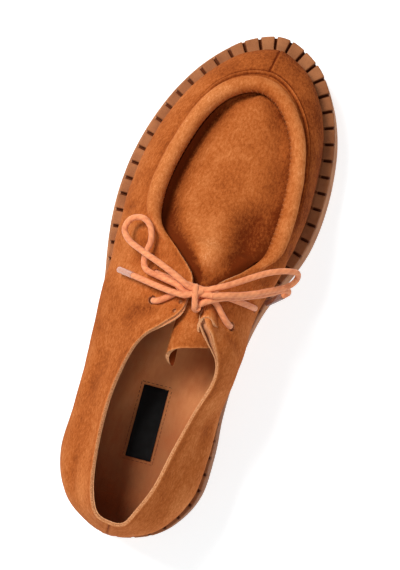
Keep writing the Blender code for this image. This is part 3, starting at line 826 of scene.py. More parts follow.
paintedLightAndShade = (
    # painted light and shade: darker on the medial vamp that turns from the lamp, lighter on the medial
    # quarter and the lateral heel, darker at the toe and on the lateral quarter; columns: lighter or darker
    # by, row, half width in rows, mm down where it starts and is full
    (-0.65, 16.5, 3.0, 9.5, 14.0),
    (0.14, 4.0, 4.0, 4.0, 12.0),
    (-0.15, 20.5, 2.5, 11.0, 15.0),
    (-0.2, 32.4, 1.8, -4.0, -2.0),
    (0.2, 38.6, 1.4, 4.0, 12.0),
)


def paleEdgesAndPaintedShade(rows, reach, share, roll):
    # a pale rubbed edge along collar and facings, patches of painted light and shade, darker towards the welt
    bare = 1 - np.clip(roll * 2, 0, 1)
    nap = bare * (0.6 * hump(reach, 0.0, 0.8) - 0.15 * hump(reach, 3.2, 1.4))
    nap += 0.9 * hump(rows, 8.2, 0.7) * hump(reach, 1.4, 1.1)
    for amount, row, width, start, full in paintedLightAndShade:
        nap += amount * hump(rows, row, width) * smoothStep(reach, start, full)
    return nap - 0.25 * smoothStep(share, 0.86, 1.0)


def upperRelief(row, reach, points):
    rows = row[:, None]
    roll = rollShare(row)
    share = reach / wallLength(row)[:, None]
    relief = 0.4 * softNoise(points, 26.0) + 0.14 * softNoise(points, 7.5)
    relief *= smoothStep(reach, 0.0, 6.0) * 0.8 + 0.2
    relief += quarterRelief(rows, reach, share)
    nap = 0.25 * softNoise(points + 50, 17.0) + paleEdgesAndPaintedShade(rows, reach, share, roll)
    for height, shade in (
        pinchedLine(rows, reach, points, roll),
        wallSeams(reach, points),
        handCreases(points),
        rollRelief(rows, reach, points, roll),
    ):
        relief += height
        nap += shade
    return relief, nap


upperForm = {
    "stations": ((0, 0.5, 24), (0.5, 8, 12), (8, 11, 24), (11, 19, 14), (19, 21, 32), (21, 29, 14),
                 (29, 32, 24), (32, 39.5, 12), (39.5, 40, 24)),  # rows from, to, stations in a row
    "edgeLines": (10.0, 10.6, 11.2, 11.7, 12.2, 12.7, 13.1, 13.5, 13.9, 14.3, 14.8, 15.4, 16.4, 17.8, 19.6,
                  22.0),  # mm down, closer together at the pinched line
    "rollLines": 19,
    "wallLines": 19,
    "thickness": 1.1,
    "setBack": 1.3,  # of the medial facing's edge from its lining
    "setBackDepth": 12.0,
    "eyeletBelow": 1.9,  # its middle, below the place where the cord comes up
    "eyeletRadius": 2.4,
    "tears": ((31.1, 2.8), (30.55, 2.8)),  # row, mm down
    "tearRadius": 1.1,
    "holeReach": 1.6,  # edge points within this many radii are drawn onto a hole's circle
}
suedeSides = {"use_even_offset": True, "material_offset": 1, "material_offset_rim": 2}


def cutHole(piece, middle, radius):
    # takes out the faces round a place and rounds what is left
    faces = piece.data.polygons
    centres = np.empty(len(faces) * 3, np.float32)
    faces.foreach_get("center", centres)
    near = np.linalg.norm(centres.reshape(-1, 3) - middle, axis=1) < radius
    pick(piece)
    faces.foreach_set("select", near)
    bpy.ops.object.mode_set(mode="EDIT")
    bpy.ops.mesh.select_mode(type="FACE")
    bpy.ops.mesh.delete(type="FACE")
    bpy.ops.object.mode_set(mode="OBJECT")
    edges = {}
    for face in piece.data.polygons:
        for key in face.edge_keys:
            edges[key] = edges.get(key, 0) + 1
    rim = [index for key, uses in edges.items() if uses == 1 for index in key]
    for index in rim:
        point = np.array(piece.data.vertices[index].co)
        far = np.linalg.norm(point - middle)
        if far < upperForm["holeReach"] * radius:
            piece.data.vertices[index].co = Vector(middle + (point - middle) * (radius / far))


def cutEyelets(piece, below, lift, radius):
    for lateral, medial, bend in barForm.values():
        for row, down in (lateral, medial):
            cutHole(piece, onWall(row, down + below, lift) * mm, radius * mm)


def wallShell(name, points, attribute, values, finishes):
    # a wall all round the shoe, closed at the heel and facing outwards
    points[-1] = points[0]
    values[-1] = values[0]
    piece = drapedGrid(name, points, attribute, values, finishes)
    mergePoints(piece)
    faceAlong(piece, 1, [max(piece.data.polygons, key=lambda face: face.center[1])])
    return piece


def upperRows():
    spans = [np.linspace(first, last, round((last - first) * count), endpoint=False)
             for first, last, count in upperForm["stations"]]
    return np.concatenate(spans + [[allRows]])


def buildUpper(finishes):
    row = upperRows()
    rollLines = np.linspace(0, wallForm["rollWidth"], upperForm["rollLines"])
    edgeLines = np.concatenate([rollLines, upperForm["edgeLines"]])
    below = np.linspace(0, 1, upperForm["wallLines"] + 1)[1:]
    wallLines = edgeLines[-1] + (wallLength(row)[:, None] - edgeLines[-1]) * below[None]
    reach = np.concatenate([np.repeat(edgeLines[None], len(row), 0), wallLines], axis=1)
    upperPart = np.clip(1 - reach / upperForm["setBackDepth"], 0, 1)
    reach += upperForm["setBack"] * hump(row, 8.2, 0.5)[:, None] * upperPart
    points, facing, roll = wallAt(row, reach)
    relief, nap = upperRelief(row, reach, points)
    piece = wallShell("upper_suede", points + facing * relief[..., None], "nap", nap, finishes)
    cutEyelets(piece, upperForm["eyeletBelow"], 0.0, upperForm["eyeletRadius"])
    for side, down in upperForm["tears"]:
        cutHole(piece, onWall(side, down, 0.0) * mm, upperForm["tearRadius"] * mm)
    thicken(piece, upperForm["thickness"], **suedeSides)
    return finishPiece(piece, "suede", "upper")


liningForm = {
    "depth": 1.35,  # mm under the suede's outer face
    "thickness": 0.5,
    "below": 0.5,  # its edge's distance down from the suede's
    # strips that show past the suede's edge: row, half length in rows, mm past, depth of the slit behind
    "strips": ((31.6, 0.8, 1.7, 0.3), (8.3, 0.8, 2.8, 2.2)),
    "lines": 34,
    "eyeletBelow": 2.2,
    "eyeletRadius": 2.8,
    # painted shade inside the lateral quarter, at the heel and in the slit behind the medial strip
    "lateralShade": 0.87,
    "heelShade": 0.4,
    "slitShade": 1.2,
}


def buildLining(finishes):
    row = upperRows()[::2]
    row[-1] = allRows
    start = liningForm["below"] + wallForm["rollWidth"] * smoothStep(readLast("roll", row), 0.0, 2.0)
    for middle, half, past, slit in liningForm["strips"]:
        start = start - (past + liningForm["below"]) * hump(row, middle, half)
    share = (np.arange(liningForm["lines"]) / (liningForm["lines"] - 1))[None] ** 1.6
    reach = start[:, None] + (wallLength(row) - start)[:, None] * share
    points, facing, roll = wallAt(row, reach)
    flat = np.maximum(0.0, 1.0 - roll)[..., None]
    depth = liningForm["depth"] + 0.15 * softNoise(points, 15.0)
    depth += waistTuck(row[:, None], reach / wallLength(row)[:, None])
    for middle, half, past, slit in liningForm["strips"]:
        depth += slit * hump(row, middle, half)[:, None] * hump(reach, 0.3, 1.1)
    points = points - facing * depth[..., None] * flat
    # painted shade inside the lateral quarter, at the heel and in the slit behind the medial strip
    dirtAndPaintedShade = liningForm["lateralShade"] * hump(row, 35.0, 3.8)
    dirtAndPaintedShade = dirtAndPaintedShade + liningForm["heelShade"] * (hump(row, 0.0, 2.5) + hump(row, allRows, 2.5))
    dirtAndPaintedShade = dirtAndPaintedShade[:, None] * smoothStep(reach, 0.5, 5.0)
    dirtAndPaintedShade += liningForm["slitShade"] * hump(row, 8.2, 0.6)[:, None] * hump(reach, 0.2, 1.0)
    piece = wallShell("upper_lining", points, "dirtAndPaintedShade", dirtAndPaintedShade, finishes)
    cutEyelets(piece, liningForm["eyeletBelow"], -liningForm["depth"], liningForm["eyeletRadius"])
    thicken(piece, liningForm["thickness"], use_even_offset=True, material_offset_rim=1)
    return finishPiece(piece, "lining")


apronForm = {
    "drop": 2.2, "lateralDrop": 2.0, "throatDrop": 2.6, "out": 0.6, "crown": 0.1, "throatHump": 3.0,
    "dip": 1.4, "lateralDip": 4.4,
    "crestY": (6.0, 20.0, 42.0), "crestX": (7.4, 7.0, 6.0),  # the fold down to the throat
    "crestHeight": 1.9, "crestFall": 2.6,
    # where it goes in under the facings: row, mm down from their edge, height of its middle over its sides
    "tucks": ((10.5, 7.0, 1.0), (11.0, 7.0, 1.6), (11.5, 6.5, 4.0), (12.0, 6.0, 6.6), (12.5, 4.0, 7.4)),
    "clearance": 1.4,
    "cells": 60, "steps": 8,
}


def apronLines():
    # lateral end, medial end and the middle's height over them, from the throat to the toe
    lines = []
    for place, under, crown in apronForm["tucks"]:
        sides = np.array([allRows - place, place])
        points, facing, roll = wallAt(sides, np.full((2, 1), under))
        ends = points[:, 0] - facing[:, 0] * (wall + apronForm["clearance"] + apronForm["throatDrop"])
        lines.append(np.concatenate([ends[0], ends[1], [crown]]))
    for place in np.arange(throatRow, toeRow + 0.01, 0.5):
        sides = np.array([allRows - place, place])
        ends = topPoint(sides)
        nearThroat = hump(ends[:, 1], 16.0, 14.0)
        ends[:, 2] -= apronForm["drop"] + apronForm["throatDrop"] * nearThroat
        ends[0, 2] -= apronForm["lateralDrop"] * smoothStep(toeRow - place, 0.5, 2.5)
        ends[:, :2] -= edgeInward(sides) * apronForm["out"]
        width = np.linalg.norm(ends[0] - ends[1])
        crown = apronForm["crown"] * width + apronForm["throatHump"] * nearThroat[0]
        lines.append(np.concatenate([ends[0], ends[1], [crown]]))
    return smoothLine(lines, apronForm["steps"])


def buildApron(finish):
    lines = apronLines()
    share = np.linspace(0, 1, apronForm["cells"] + 1)[None]
    start, end, crown = lines[:, None, 0:3], lines[:, None, 3:6], lines[:, None, 6]
    points = start + (end - start) * share[..., None]
    points[..., 2] += crown * (1 - (2 * share - 1) ** 2)
    edge = np.minimum(share, 1 - share) * np.linalg.norm(end - start, axis=-1)
    points[..., 2] += 0.5 * softNoise(points, 24.0) * smoothStep(edge, 0, 8) + 0.12 * softNoise(points, 7.0)
    # a hollow inside the roll, deeper on the lateral side
    y = points[..., 1]
    throat = smoothStep(-y, -30.0, -12.0)
    lateral = smoothStep(-share, -0.5, -0.2) * (1 - 0.6 * smoothStep(y, 78.0, 94.0))
    dip = apronForm["dip"] + apronForm["lateralDip"] * lateral
    points[..., 2] -= dip * hump(edge, 3.8, 5.2) * (1 - throat)
    # the fold that runs down to the throat
    fold = between(y, 2.0, 12.0, 30.0, 56.0)
    aside = points[..., 0] - np.interp(y, apronForm["crestY"], apronForm["crestX"])
    slope = apronForm["crestHeight"] * hump(aside, 0.0, 10.0)
    slope -= apronForm["crestFall"] * hump(aside, 16.0, 8.0)
    points[..., 2] += fold * slope * smoothStep(edge, 3.0, 11.0)
    # painted shade along the edges under the roll, in the cast shadows of the facing and the roll on the
    # lateral side, on the fold's medial slope, at the throat's end and on the medial flank; painted
    # highlights on the fold's crest and the instep
    nap = 0.3 * softNoise(points + 20, 18.0) - 0.3 * hump(edge, 0.0, 4.0)
    nap -= 0.7 * hump(edge, 8.0, 5.0) * smoothStep(-share, -0.45, -0.3) * (1 - smoothStep(y, 22.0, 38.0))
    nap += fold * (0.35 * hump(aside, -1.0, 6.0) - 0.65 * hump(aside, 15.0, 8.0))
    nap -= 0.8 * lateral * hump(edge, 1.5, 5.0)
    nap += 0.25 * hump(y, 15.0, 11.0) * hump(share, 0.46, 0.2)
    nap -= 0.5 * (1 - smoothStep(y, 0.0, 8.0)) + (0.25 + 0.3 * throat) * smoothStep(share, 0.6, 0.9)
    piece = drapedGrid("apron_suede", points, "nap", nap, [finish])
    mergePoints(piece, 0.00004)
    faceAlong(piece, 2)
    thicken(piece, wall, use_even_offset=True)
    return finishPiece(piece, "suede", "apron")


tongueForm = {
    # y, middle x, half width, lateral width, middle z, edge z, skew, curl, back
    "rows": (
        (3.0, 9.8, 13.0, 13.0, 73.4, 69.6, 0.0, 0.0, 0.0),
        (-4.0, 9.8, 13.5, 13.5, 77.2, 73.4, 0.0, 0.0, 0.0),
        (-11.0, 10.0, 14.5, 14.5, 84.6, 79.0, 0.0, 0.2, 0.0),
        (-18.0, 11.2, 13.8, 16.0, 88.2, 81.4, 0.8, 0.8, 0.05),
        (-24.5, 11.4, 15.2, 18.0, 88.6, 81.6, 2.4, 1.0, 0.2),
        (-30.0, 11.8, 15.0, 19.5, 88.2, 80.8, 3.8, 1.0, 0.42),
        (-34.5, 12.2, 13.6, 20.5, 87.4, 80.4, 4.8, 1.0, 0.58),
    ),
    "steps": 8,
    "cells": 64,
    "thickness": 1.9,
    "curlStart": 2.0,
    "curlRadius": 6.2,
    "corner": 2.4,
}


def buildTongue(finishes):
    rows = smoothLine(tongueForm["rows"], tongueForm["steps"])
    y, middleX, halfWidth, lateral, middleZ, edgeZ, skew, curl, back = (rows[:, None, i] for i in range(9))
    share = np.linspace(-1, 1, tongueForm["cells"] + 1)[None]
    plain = np.stack(
        [middleX + share * halfWidth, y + share * skew, middleZ - (middleZ - edgeZ) * share**2], axis=-1
    )
    # the lateral half curls down and under
    corner, radius = tongueForm["corner"], tongueForm["curlRadius"]
    fromTip = np.clip(y - y.min(), 0.0, corner)
    rounded = corner - np.sqrt(corner**2 - (corner - fromTip) ** 2)
    far = np.maximum(0.0, -share) * (lateral - rounded)
    flat = np.minimum(far, tongueForm["curlStart"])
    past = far - flat
    turn = past / radius
    curled = np.stack(
        [middleX - flat - radius * np.sin(turn),
         y - skew * flat / halfWidth - back * past,
         middleZ - radius * (1 - np.cos(turn))], axis=-1
    )
    points = plain + (curled - plain) * (np.clip(curl, 0, 1) * (share < 0))[..., None]
    points[..., 2] += 0.3 * softNoise(points, 14.0)
    nap = 0.25 * softNoise(points + 9, 11.0) - 0.14
    nap += 0.6 * hump(np.linspace(1, 0, len(rows))[:, None], 0, 0.025)
    piece = drapedGrid("tongue_suede", points, "nap", nap, finishes)
    faceAlong(piece, 2, [face for face in piece.data.polygons if face.center[0] > middleX.mean() * mm])
    thicken(piece, tongueForm["thickness"], **suedeSides)
    return finishPiece(piece, "suede", "tongue")


scrollForm = {
    # its raw edge, from over the tongue to the facing
    "edge": ((15.0, -25.0, 88.2), (14.2, -21.8, 90.8), (15.0, -18.8, 93.0), (17.4, -17.2, 94.0),
             (20.2, -17.6, 93.2), (22.6, -19.4, 91.2)),
    # row, mm down and mm out: where the edge ends, and where it grows from the facing
    "edgeEnd": (8.75, 8.5, -0.3),
    "root": ((9.9, -0.6, 0.2), (9.95, 0.6, 0.6), (9.95, 2.0, 0.7), (9.9, 3.6, 0.6), (9.75, 5.2, 0.4),
             (9.55, 6.8, 0.1), (9.3, 8.6, -0.3)),
    "steps": 8,
    "cells": 24,
    "bulge": 0.9,
    "thickness": 1.3,
}


def buildScroll(finishes):
    edge = smoothLine(list(scrollForm["edge"]) + [tuple(onWall(*scrollForm["edgeEnd"]))], scrollForm["steps"])
    root = smoothLine([onWall(*spot) for spot in scrollForm["root"]], scrollForm["steps"])
    share = np.linspace(0, 1, scrollForm["cells"] + 1)[None]
    points = edge[:, None] + (root - edge)[:, None] * share[..., None]
    points[..., 2] += scrollForm["bulge"] * np.sin(np.pi * share) + 0.25 * softNoise(points, 4.0)
    nap = 0.2 * softNoise(points, 5.0) + 0.5 * hump(share, 0.0, 0.15)
    piece = drapedGrid("facing_scroll", points, "nap", nap, finishes)
    faceAlong(piece, 2)
    thicken(piece, scrollForm["thickness"], **suedeSides)
    return finishPiece(piece, "suede")


# sole, insole and label

def closedLoop(lines):
    return np.concatenate([lines, lines[:, :1]], axis=1)


def soleSide(row):
    # from the platform under the upper out along the ledge, down the side and in on the tread
    platform = readLast("inset", row) + (weltForm["under"] + gap)
    run = weltSetback(row) * sole["sideRun"] * (1 - sole["lateralRun"] * lateralSide(row))
    rim = np.zeros(len(row))
    profile = (
        # mm in from the rim, level that it is measured from, mm over it
        (platform, "top", 0.0),
        (platform, "ledge", 0.0),
        (run + 2.6, "ledge", 0.0),
        (run + 0.5, "ledge", 0.0),
        (run + 0.15, "ledge", -0.15),
        (run, "ledge", -0.5),
        (0.8 * run, "ledge", -3.0),
        (0.4 * run, "middle", 0.0),
        (rim + 0.1, "tread", sole["chamfer"] + 0.6),
        (rim + 0.75, "tread", sole["chamfer"] - 0.9),
        (rim + 1.6, "tread", 0.9),
        (rim + 3.0, "tread", 0.0),
    )
    points = []
    for out, level, over in profile:
        spot = edgeAt(row, out)
        top, tread = weltTop(spot[:, 1]), treadHeight(spot[:, 1])
        ledge = top - weltForm["height"] - gap
        levels = {"top": top, "ledge": ledge, "middle": (ledge + tread) / 2, "tread": tread}
        points.append(raised(spot, levels[level] + over))
    return np.stack(points, axis=1)


def lugCutter():
    # one box for each groove across the tread
    boxes = []
    margin = edgeAt(np.linspace(0, allRows, 400), np.full(400, sole["lugMargin"]))
    for y in sole["lugs"]:
        near = margin[np.abs(margin[:, 1] - y) < 6.0, 0]
        low, high = near.min(), near.max()
        top = float(treadHeight(np.array(y))) + sole["lugDepth"]
        bpy.ops.object.select_all(action="DESELECT")
        bpy.ops.mesh.primitive_cube_add(
            size=1.0, location=((low + high) / 2 * mm, y * mm, (top - sole["lugBelow"]) / 2 * mm)
        )
        box = bpy.context.active_object
        box.scale = ((high - low) * mm, sole["lugWidth"] * mm, (top + sole["lugBelow"]) * mm)
        boxes.append(box)
    cutter = joinPieces(boxes, "lugCutter")
    bpy.ops.object.transform_apply(location=True, rotation=True, scale=True)
    return cutter


def buildOutsole(finish):
    row = np.linspace(0, toeRow, toeRow * 10 + 1)
    medial, lateral = soleSide(row), soleSide(allRows - row)
    share = np.linspace(0, 1, sole["cells"] + 1)[1:-1][None, :, None]
    under = medial[:, -1:] + (lateral[:, -1:] - medial[:, -1:]) * share
    under[..., 2] = treadHeight(under[..., 1])
    over = lateral[:, :1] + (medial[:, :1] - lateral[:, :1]) * share
    over[..., 2] = weltTop(over[..., 1])
    points = closedLoop(np.concatenate([medial, under, lateral[:, ::-1], over], axis=1))
    dirtAndPaintedShade = 0.25 * np.clip(softNoise(points, 16.0), 0, 1) * (points[..., 2] < sole["soilBelow"])
    # painted shade on the medial side, from the heel
    dirtAndPaintedShade[:, :medial.shape[1]] += sole["medialPaintedShade"] * medialShade(row, 9.0)[:, None]
    piece = drapedGrid("outsole_rubber", points, "dirtAndPaintedShade", dirtAndPaintedShade, [finish])
    mergePoints(piece, 0.00003)
    turnOutwards(piece)
    cutter = lugCutter()
    modify(piece, "BOOLEAN", operation="DIFFERENCE", object=cutter, solver="EXACT")
    bpy.data.objects.remove(cutter)
    smoothFaces(piece, 35.0)
    return finishPiece(piece, "sole_rubber", "outsole")


def buildWelt(finish):
    fine = np.linspace(0, allRows, 4001)
    length = runLength(edgeAt(fine, np.full(len(fine), weltForm["setback"])))
    pitch = length[-1] / weltForm["grooves"]
    half = pitch * weltForm["grooveShare"] / 2
    steps = (
        # mm along from a groove's middle, share of its depth
        (-0.5 * pitch, 0.0), (-0.25 * pitch, 0.0), (-half - 0.7, 0.0), (-half - 0.3, 0.06),
        (-half - 0.05, 0.3), (-half + 0.05, 1.0), (half - 0.05, 1.0), (half + 0.05, 0.3),
        (half + 0.3, 0.06), (half + 0.7, 0.0), (0.25 * pitch, 0.0),
    )
    grooves = range(weltForm["grooves"])
    place = np.array([(groove + 0.5) * pitch + step for groove in grooves for step, cut in steps])
    cut = np.array([cut for groove in grooves for step, cut in steps])
    row = np.interp(place, length, fine)
    inset = readLast("inset", row)
    grooveEnd = inset - weltForm["grooveEnd"]
    deep = cut * weltForm["grooveDepth"]
    face = weltSetback(row) + cut * weltForm["grooveBack"]
    level = np.zeros(len(row))
    profile = (
        # mm in from the sole's rim, mm below the welt's top
        (inset + weltForm["under"], level + weltForm["height"]),
        (inset + weltForm["under"], level),
        (inset, level),
        (grooveEnd + 0.3, level),
        (grooveEnd, 0.15 * deep),
        (grooveEnd - 0.5, deep),
        (face + 1.4, deep),
        (face + 0.45, deep + 0.12),
        (face + 0.1, deep + 0.5),
        (face, deep + 1.1),
        (face, 0.5 * (deep + 1.1 + weltForm["height"])),
        (face, level + weltForm["height"] - 0.4),
        (face + 0.4, level + weltForm["height"]),
    )
    points = []
    dirtAndPaintedShade = []
    for index, (out, below) in enumerate(profile):
        spot = edgeAt(row, out)
        points.append(raised(spot, weltTop(spot[:, 1]) - below))
        # painted shade in the grooves and on the medial side; the top a little darker
        topDarkening = weltForm["topDarkening"] if index < 4 else 0.0
        grooveShade = 1.0 if 4 < index < 12 else 0.4
        dirtAndPaintedShade.append(cut * grooveShade + (weltForm["medialPaintedShade"] * medialShade(row, 20.0) + topDarkening))
    points = closedLoop(np.stack(points, axis=1))
    dirtAndPaintedShade = closedLoop(np.stack(dirtAndPaintedShade, axis=1))
    points = np.concatenate([points, points[:1]])
    dirtAndPaintedShade = np.concatenate([dirtAndPaintedShade, dirtAndPaintedShade[:1]])
    points[..., 2] += 0.12 * softNoise(points, 20.0)
    piece = drapedGrid("welt_rubber", points, "dirtAndPaintedShade", dirtAndPaintedShade, [finish])
    mergePoints(piece)
    turnOutwards(piece)
    smoothFaces(piece, 40.0)
    return finishPiece(piece, "sole_rubber", "welt")


insoleForm = {
    "thickness": 3.4, "shell": 2.6, "clearance": 0.35, "cells": 44,
    "cup": 2.6, "cupWidth": 5.0, "heelEnd": -131.0,
    # painted shade: darker at the heel, from the label back, along the lateral side in the collar's shadow,
    # and at the edge by the wall
    "heelShade": 0.75, "labelAreaShade": 0.62, "lateralShade": 0.68, "edgeShadeWidth": 2.4,
    # the line where the painted shadow of the lateral collar ends on the insole: y, then x
    "lateralY": (-105.0, -87.0, -71.0, -56.0, -42.0, -30.0),
    "lateralX": (-5.5, -8.6, -9.6, -8.6, -6.0, -3.0),
}


def insoleTop(y):
    return weltTop(y) + gap + insoleForm["thickness"]


def buildInsole(finish):
    row = np.linspace(0, toeRow, toeRow * 8 + 1)
    inset = readLast("inset", row) + wall + insoleForm["clearance"]
    medial, lateral = edgeAt(row, inset), edgeAt(allRows - row, inset)
    share = np.linspace(0, 1, insoleForm["cells"] + 1)
    flat = lateral[:, None] + (medial - lateral)[:, None] * share[None, :, None]
    x, y = flat[..., 0], flat[..., 1]
    edge = np.minimum(share, 1 - share)[None] * np.linalg.norm(medial - lateral, axis=1)[:, None]
    edge = np.minimum(edge, y - insoleForm["heelEnd"])
    cup = insoleForm["cup"] * np.exp(-np.maximum(edge, 0) / insoleForm["cupWidth"])
    points = raised(flat, insoleTop(y) + cup)
    points[..., 2] += 0.25 * softNoise(points, 22.0) * smoothStep(edge, 0, 6)
    # painted shade at the heel, from the label back, along the lateral side and at the edge
    dirtAndPaintedShade = insoleForm["heelShade"] * (1 - smoothStep(y, -124.0, -90.0))
    dirtAndPaintedShade = np.maximum(dirtAndPaintedShade, insoleForm["labelAreaShade"] * (1 - smoothStep(y, -85.0, -45.0)))
    past = np.interp(y, insoleForm["lateralY"], insoleForm["lateralX"]) - x
    dirtAndPaintedShade = np.maximum(dirtAndPaintedShade, insoleForm["lateralShade"] * smoothStep(past, -6.0, 8.0))
    dirtAndPaintedShade = np.maximum(dirtAndPaintedShade, hump(edge, 0.0, insoleForm["edgeShadeWidth"]))
    piece = drapedGrid("insole_leather", points, "dirtAndPaintedShade", dirtAndPaintedShade, [finish])
    mergePoints(piece, 0.00004)
    faceAlong(piece, 2)
    thicken(piece, insoleForm["shell"])
    return finishPiece(piece, "lining", "insole")


labelForm = {
    "size": (13.0, 37.5), "middle": (3.6, -76.0), "turn": 5.0, "thickness": 0.55, "lift": 0.42, "cuts": 14,
    "border": (0.6, 1.4), "press": 0.14, "bevel": 0.15,  # a narrow pressed border inside the edge
}


def onLabel(x, y):
    turn = math.radians(labelForm["turn"])
    alongX = x * math.cos(turn) - y * math.sin(turn) + labelForm["middle"][0]
    alongY = x * math.sin(turn) + y * math.cos(turn) + labelForm["middle"][1]
    return alongX, alongY


def buildLabel(finish):
    width, length = labelForm["size"]
    bpy.ops.object.select_all(action="DESELECT")
    bpy.ops.mesh.primitive_cube_add(size=1.0, location=(0, 0, 0))
    piece = bpy.context.active_object
    piece.name = "insole_label_plain"
    piece.scale = (width * mm, length * mm, labelForm["thickness"] * mm)
    bpy.ops.object.transform_apply(location=False, rotation=False, scale=True)
    editAll(piece, bpy.ops.mesh.subdivide, number_cuts=labelForm["cuts"])
    inner, outer = labelForm["border"]
    for vertex in piece.data.vertices:
        x, y, z = (value / mm for value in vertex.co)
        edge = min(width / 2 - abs(x), length / 2 - abs(y))
        press = labelForm["press"] if z > 0 and inner < edge < outer else 0.0
        x, y = onLabel(x, y)
        under = float(insoleTop(np.array(y))) + labelForm["lift"]
        vertex.co = (x * mm, y * mm, (under + z - press) * mm)
    addFinishes(piece, [finish])
    modify(
        piece, "BEVEL", width=labelForm["bevel"] * mm, segments=2, limit_method="ANGLE",
        angle_limit=math.radians(60),
    )
    smoothFaces(piece, 40.0)
    return finishPiece(piece, "label", "insole_label")


labelSeam = {
    "gap": 1.5, "stitch": 1.9, "pitch": 2.3, "start": 0.2, "thickness": 0.16, "sides": 6,
    "lift": (-0.2, 0.1, 0.16, 0.1, -0.2),  # mm over the insole along a stitch
}


def buildLabelSeam(finish):
    halfWidth, halfLength = (size / 2 + labelSeam["gap"] for size in labelForm["size"])
    corners = [(x * halfWidth, y * halfLength) for x, y in ((-1, -1), (1, -1), (1, 1), (-1, 1))]
    run = np.linspace(0, labelSeam["stitch"], len(labelSeam["lift"]))[:, None]
    stitches = []
    for start, end in zip(corners, corners[1:] + corners[:1]):
        way = np.subtract(end, start)
        length = np.linalg.norm(way)
        for place in np.arange(labelSeam["start"], length - labelSeam["stitch"], labelSeam["pitch"]):
            line = np.array(start) + way / length * (place + run)
            x, y = onLabel(line[:, 0], line[:, 1])
            line = np.column_stack([x, y, insoleTop(y) + labelSeam["lift"]])
            stitches.append(tubeMesh("stitch", line, labelSeam["thickness"], labelSeam["sides"]))
    piece = joinPieces(stitches, "label_seam")
    addFinishes(piece, [finish])
    return finishPiece(piece, "lining")


# lace: routes from the knot outwards, centre lines in mm

laceForm = {
    "diameter": 3.0,
    "sides": 14,
    "spacing": 0.8,  # of its rings
    "lace_loop_lateral": (
        (4.4, -6.4, 96.0), (-3.0, -3.4, 94.4), (-13.0, 0.0, 90.0), (-24.0, 3.4, 82.0),
        (-32.4, 6.6, 73.6), (-37.2, 11.4, 69.0), (-36.0, 17.4, 69.0), (-30.0, 19.6, 72.6),
        (-24.6, 16.2, 76.0), (-22.0, 9.6, 77.4), (-22.4, 2.0, 77.6), (-19.6, -4.2, 80.0),
        (-11.0, -6.0, 86.4), (-2.0, -7.2, 92.2), (4.0, -9.6, 94.4),
    ),
    "lace_loop_medial": (
        (14.6, -4.2, 95.8), (21.4, 0.2, 94.6), (26.6, 4.2, 92.4), (32.4, 9.0, 90.0), (38.4, 13.4, 87.6),
        (44.0, 16.4, 84.8), (49.4, 18.4, 80.7), (51.6, 18.3, 77.6), (52.0, 16.2, 74.4), (50.6, 13.1, 72.7),
        (48.0, 10.4, 73.3), (44.2, 7.6, 77.2), (40.0, 4.8, 81.2), (35.2, 1.6, 85.6), (28.8, -1.8, 91.2),
        (23.4, -4.0, 95.0), (16.8, -6.8, 97.2),
    ),
    "lace_end_lateral": (
        (4.4, -11.0, 97.4), (-3.0, -11.2, 94.0), (-12.0, -10.6, 87.6), (-19.6, -9.8, 81.6),
        (-25.0, -9.2, 76.0),
    ),
    "lace_end_medial": (
        (15.8, -9.4, 94.9), (21.6, -6.0, 92.2), (28.6, -2.8, 86.8), (35.2, 0.8, 80.8), (40.6, 4.0, 75.6),
        (45.6, 7.8, 70.4), (49.2, 9.8, 66.0), (49.9, 8.8, 62.6), (47.8, 6.8, 59.4),
    ),
}


def tubeMesh(name, line, radii, sides):
    # a round tube along a line in mm, its UV running round it and along it in diameters
    line = np.asarray(line, float)
    along = unit(np.gradient(line, axis=0))
    across = np.cross(along[0], (0.3, 0.2, 1.0))
    angle = np.linspace(0, 2 * np.pi, sides, endpoint=False)[:, None]
    rings = []
    for point, way, radius in zip(line, along, np.broadcast_to(radii, len(line))):
        across = unit(across - way * (across @ way))
        rings.append(point + radius * (np.cos(angle) * across + np.sin(angle) * np.cross(way, across)))
    points = np.concatenate(rings) * mm
    length = runLength(line) / (2 * np.max(radii))
    faces = []
    corners = []
    for ring in range(len(line) - 1):
        for i in range(sides):
            square = ((ring, i), (ring, i + 1), (ring + 1, i + 1), (ring + 1, i))
            faces.append([at * sides + side % sides for at, side in square])
            corners += [(side / sides, length[at]) for at, side in square]
    for first, turn in ((0, -1), ((len(line) - 1) * sides, 1)):
        faces.append(list(range(first, first + sides))[::turn])
        corners += [(0.5, 0.0)] * sides
    mesh = bpy.data.meshes.new(name)
    mesh.from_pydata(points.tolist(), [], faces)
    layer = mesh.uv_layers.new(name="UVMap")
    layer.data.foreach_set("uv", np.array(corners, np.float32).ravel())
    mesh.validate()
    piece = bpy.data.objects.new(name, mesh)
    bpy.context.scene.collection.objects.link(piece)
    smoothFaces(piece, 60.0)
    return piece


def laceLine(route, steps):
    return evenly(smoothLine(route, steps), laceForm["spacing"])


def laceTube(name, line):
    return tubeMesh(name, line, laceForm["diameter"] / 2, laceForm["sides"])


def cordPiece(node, finish):
    line = laceLine(laceForm[node], 16)
    piece = laceTube(node + "_cord", line)
    addFinishes(piece, [finish])
    finishPiece(piece, "cord", node)
    return piece


agletForm = {
    "diameter": 3.4, "sides": 16,
    "along": (-0.6, -0.5, 0.2, 0.6, 3.0, 6.0, 9.0, 11.2, 11.9, 12.2),  # mm past the cord's end
    "girth": (0.86, 0.95, 1.0, 1.0, 0.98, 1.0, 0.98, 1.0, 0.93, 0.8),
}


def agletPiece(side, finish):
    line = laceLine(laceForm["lace_end_" + side], 16)
    ahead = unit(line[-1] - line[-4])
    places = line[-1] + np.array(agletForm["along"])[:, None] * ahead
    radii = np.array(agletForm["girth"]) * agletForm["diameter"] / 2
    piece = tubeMesh("aglet_" + side + "_sleeve", places, radii, agletForm["sides"])
    addFinishes(piece, [finish])
    return finishPiece(piece, "aglet", "aglet_" + side)


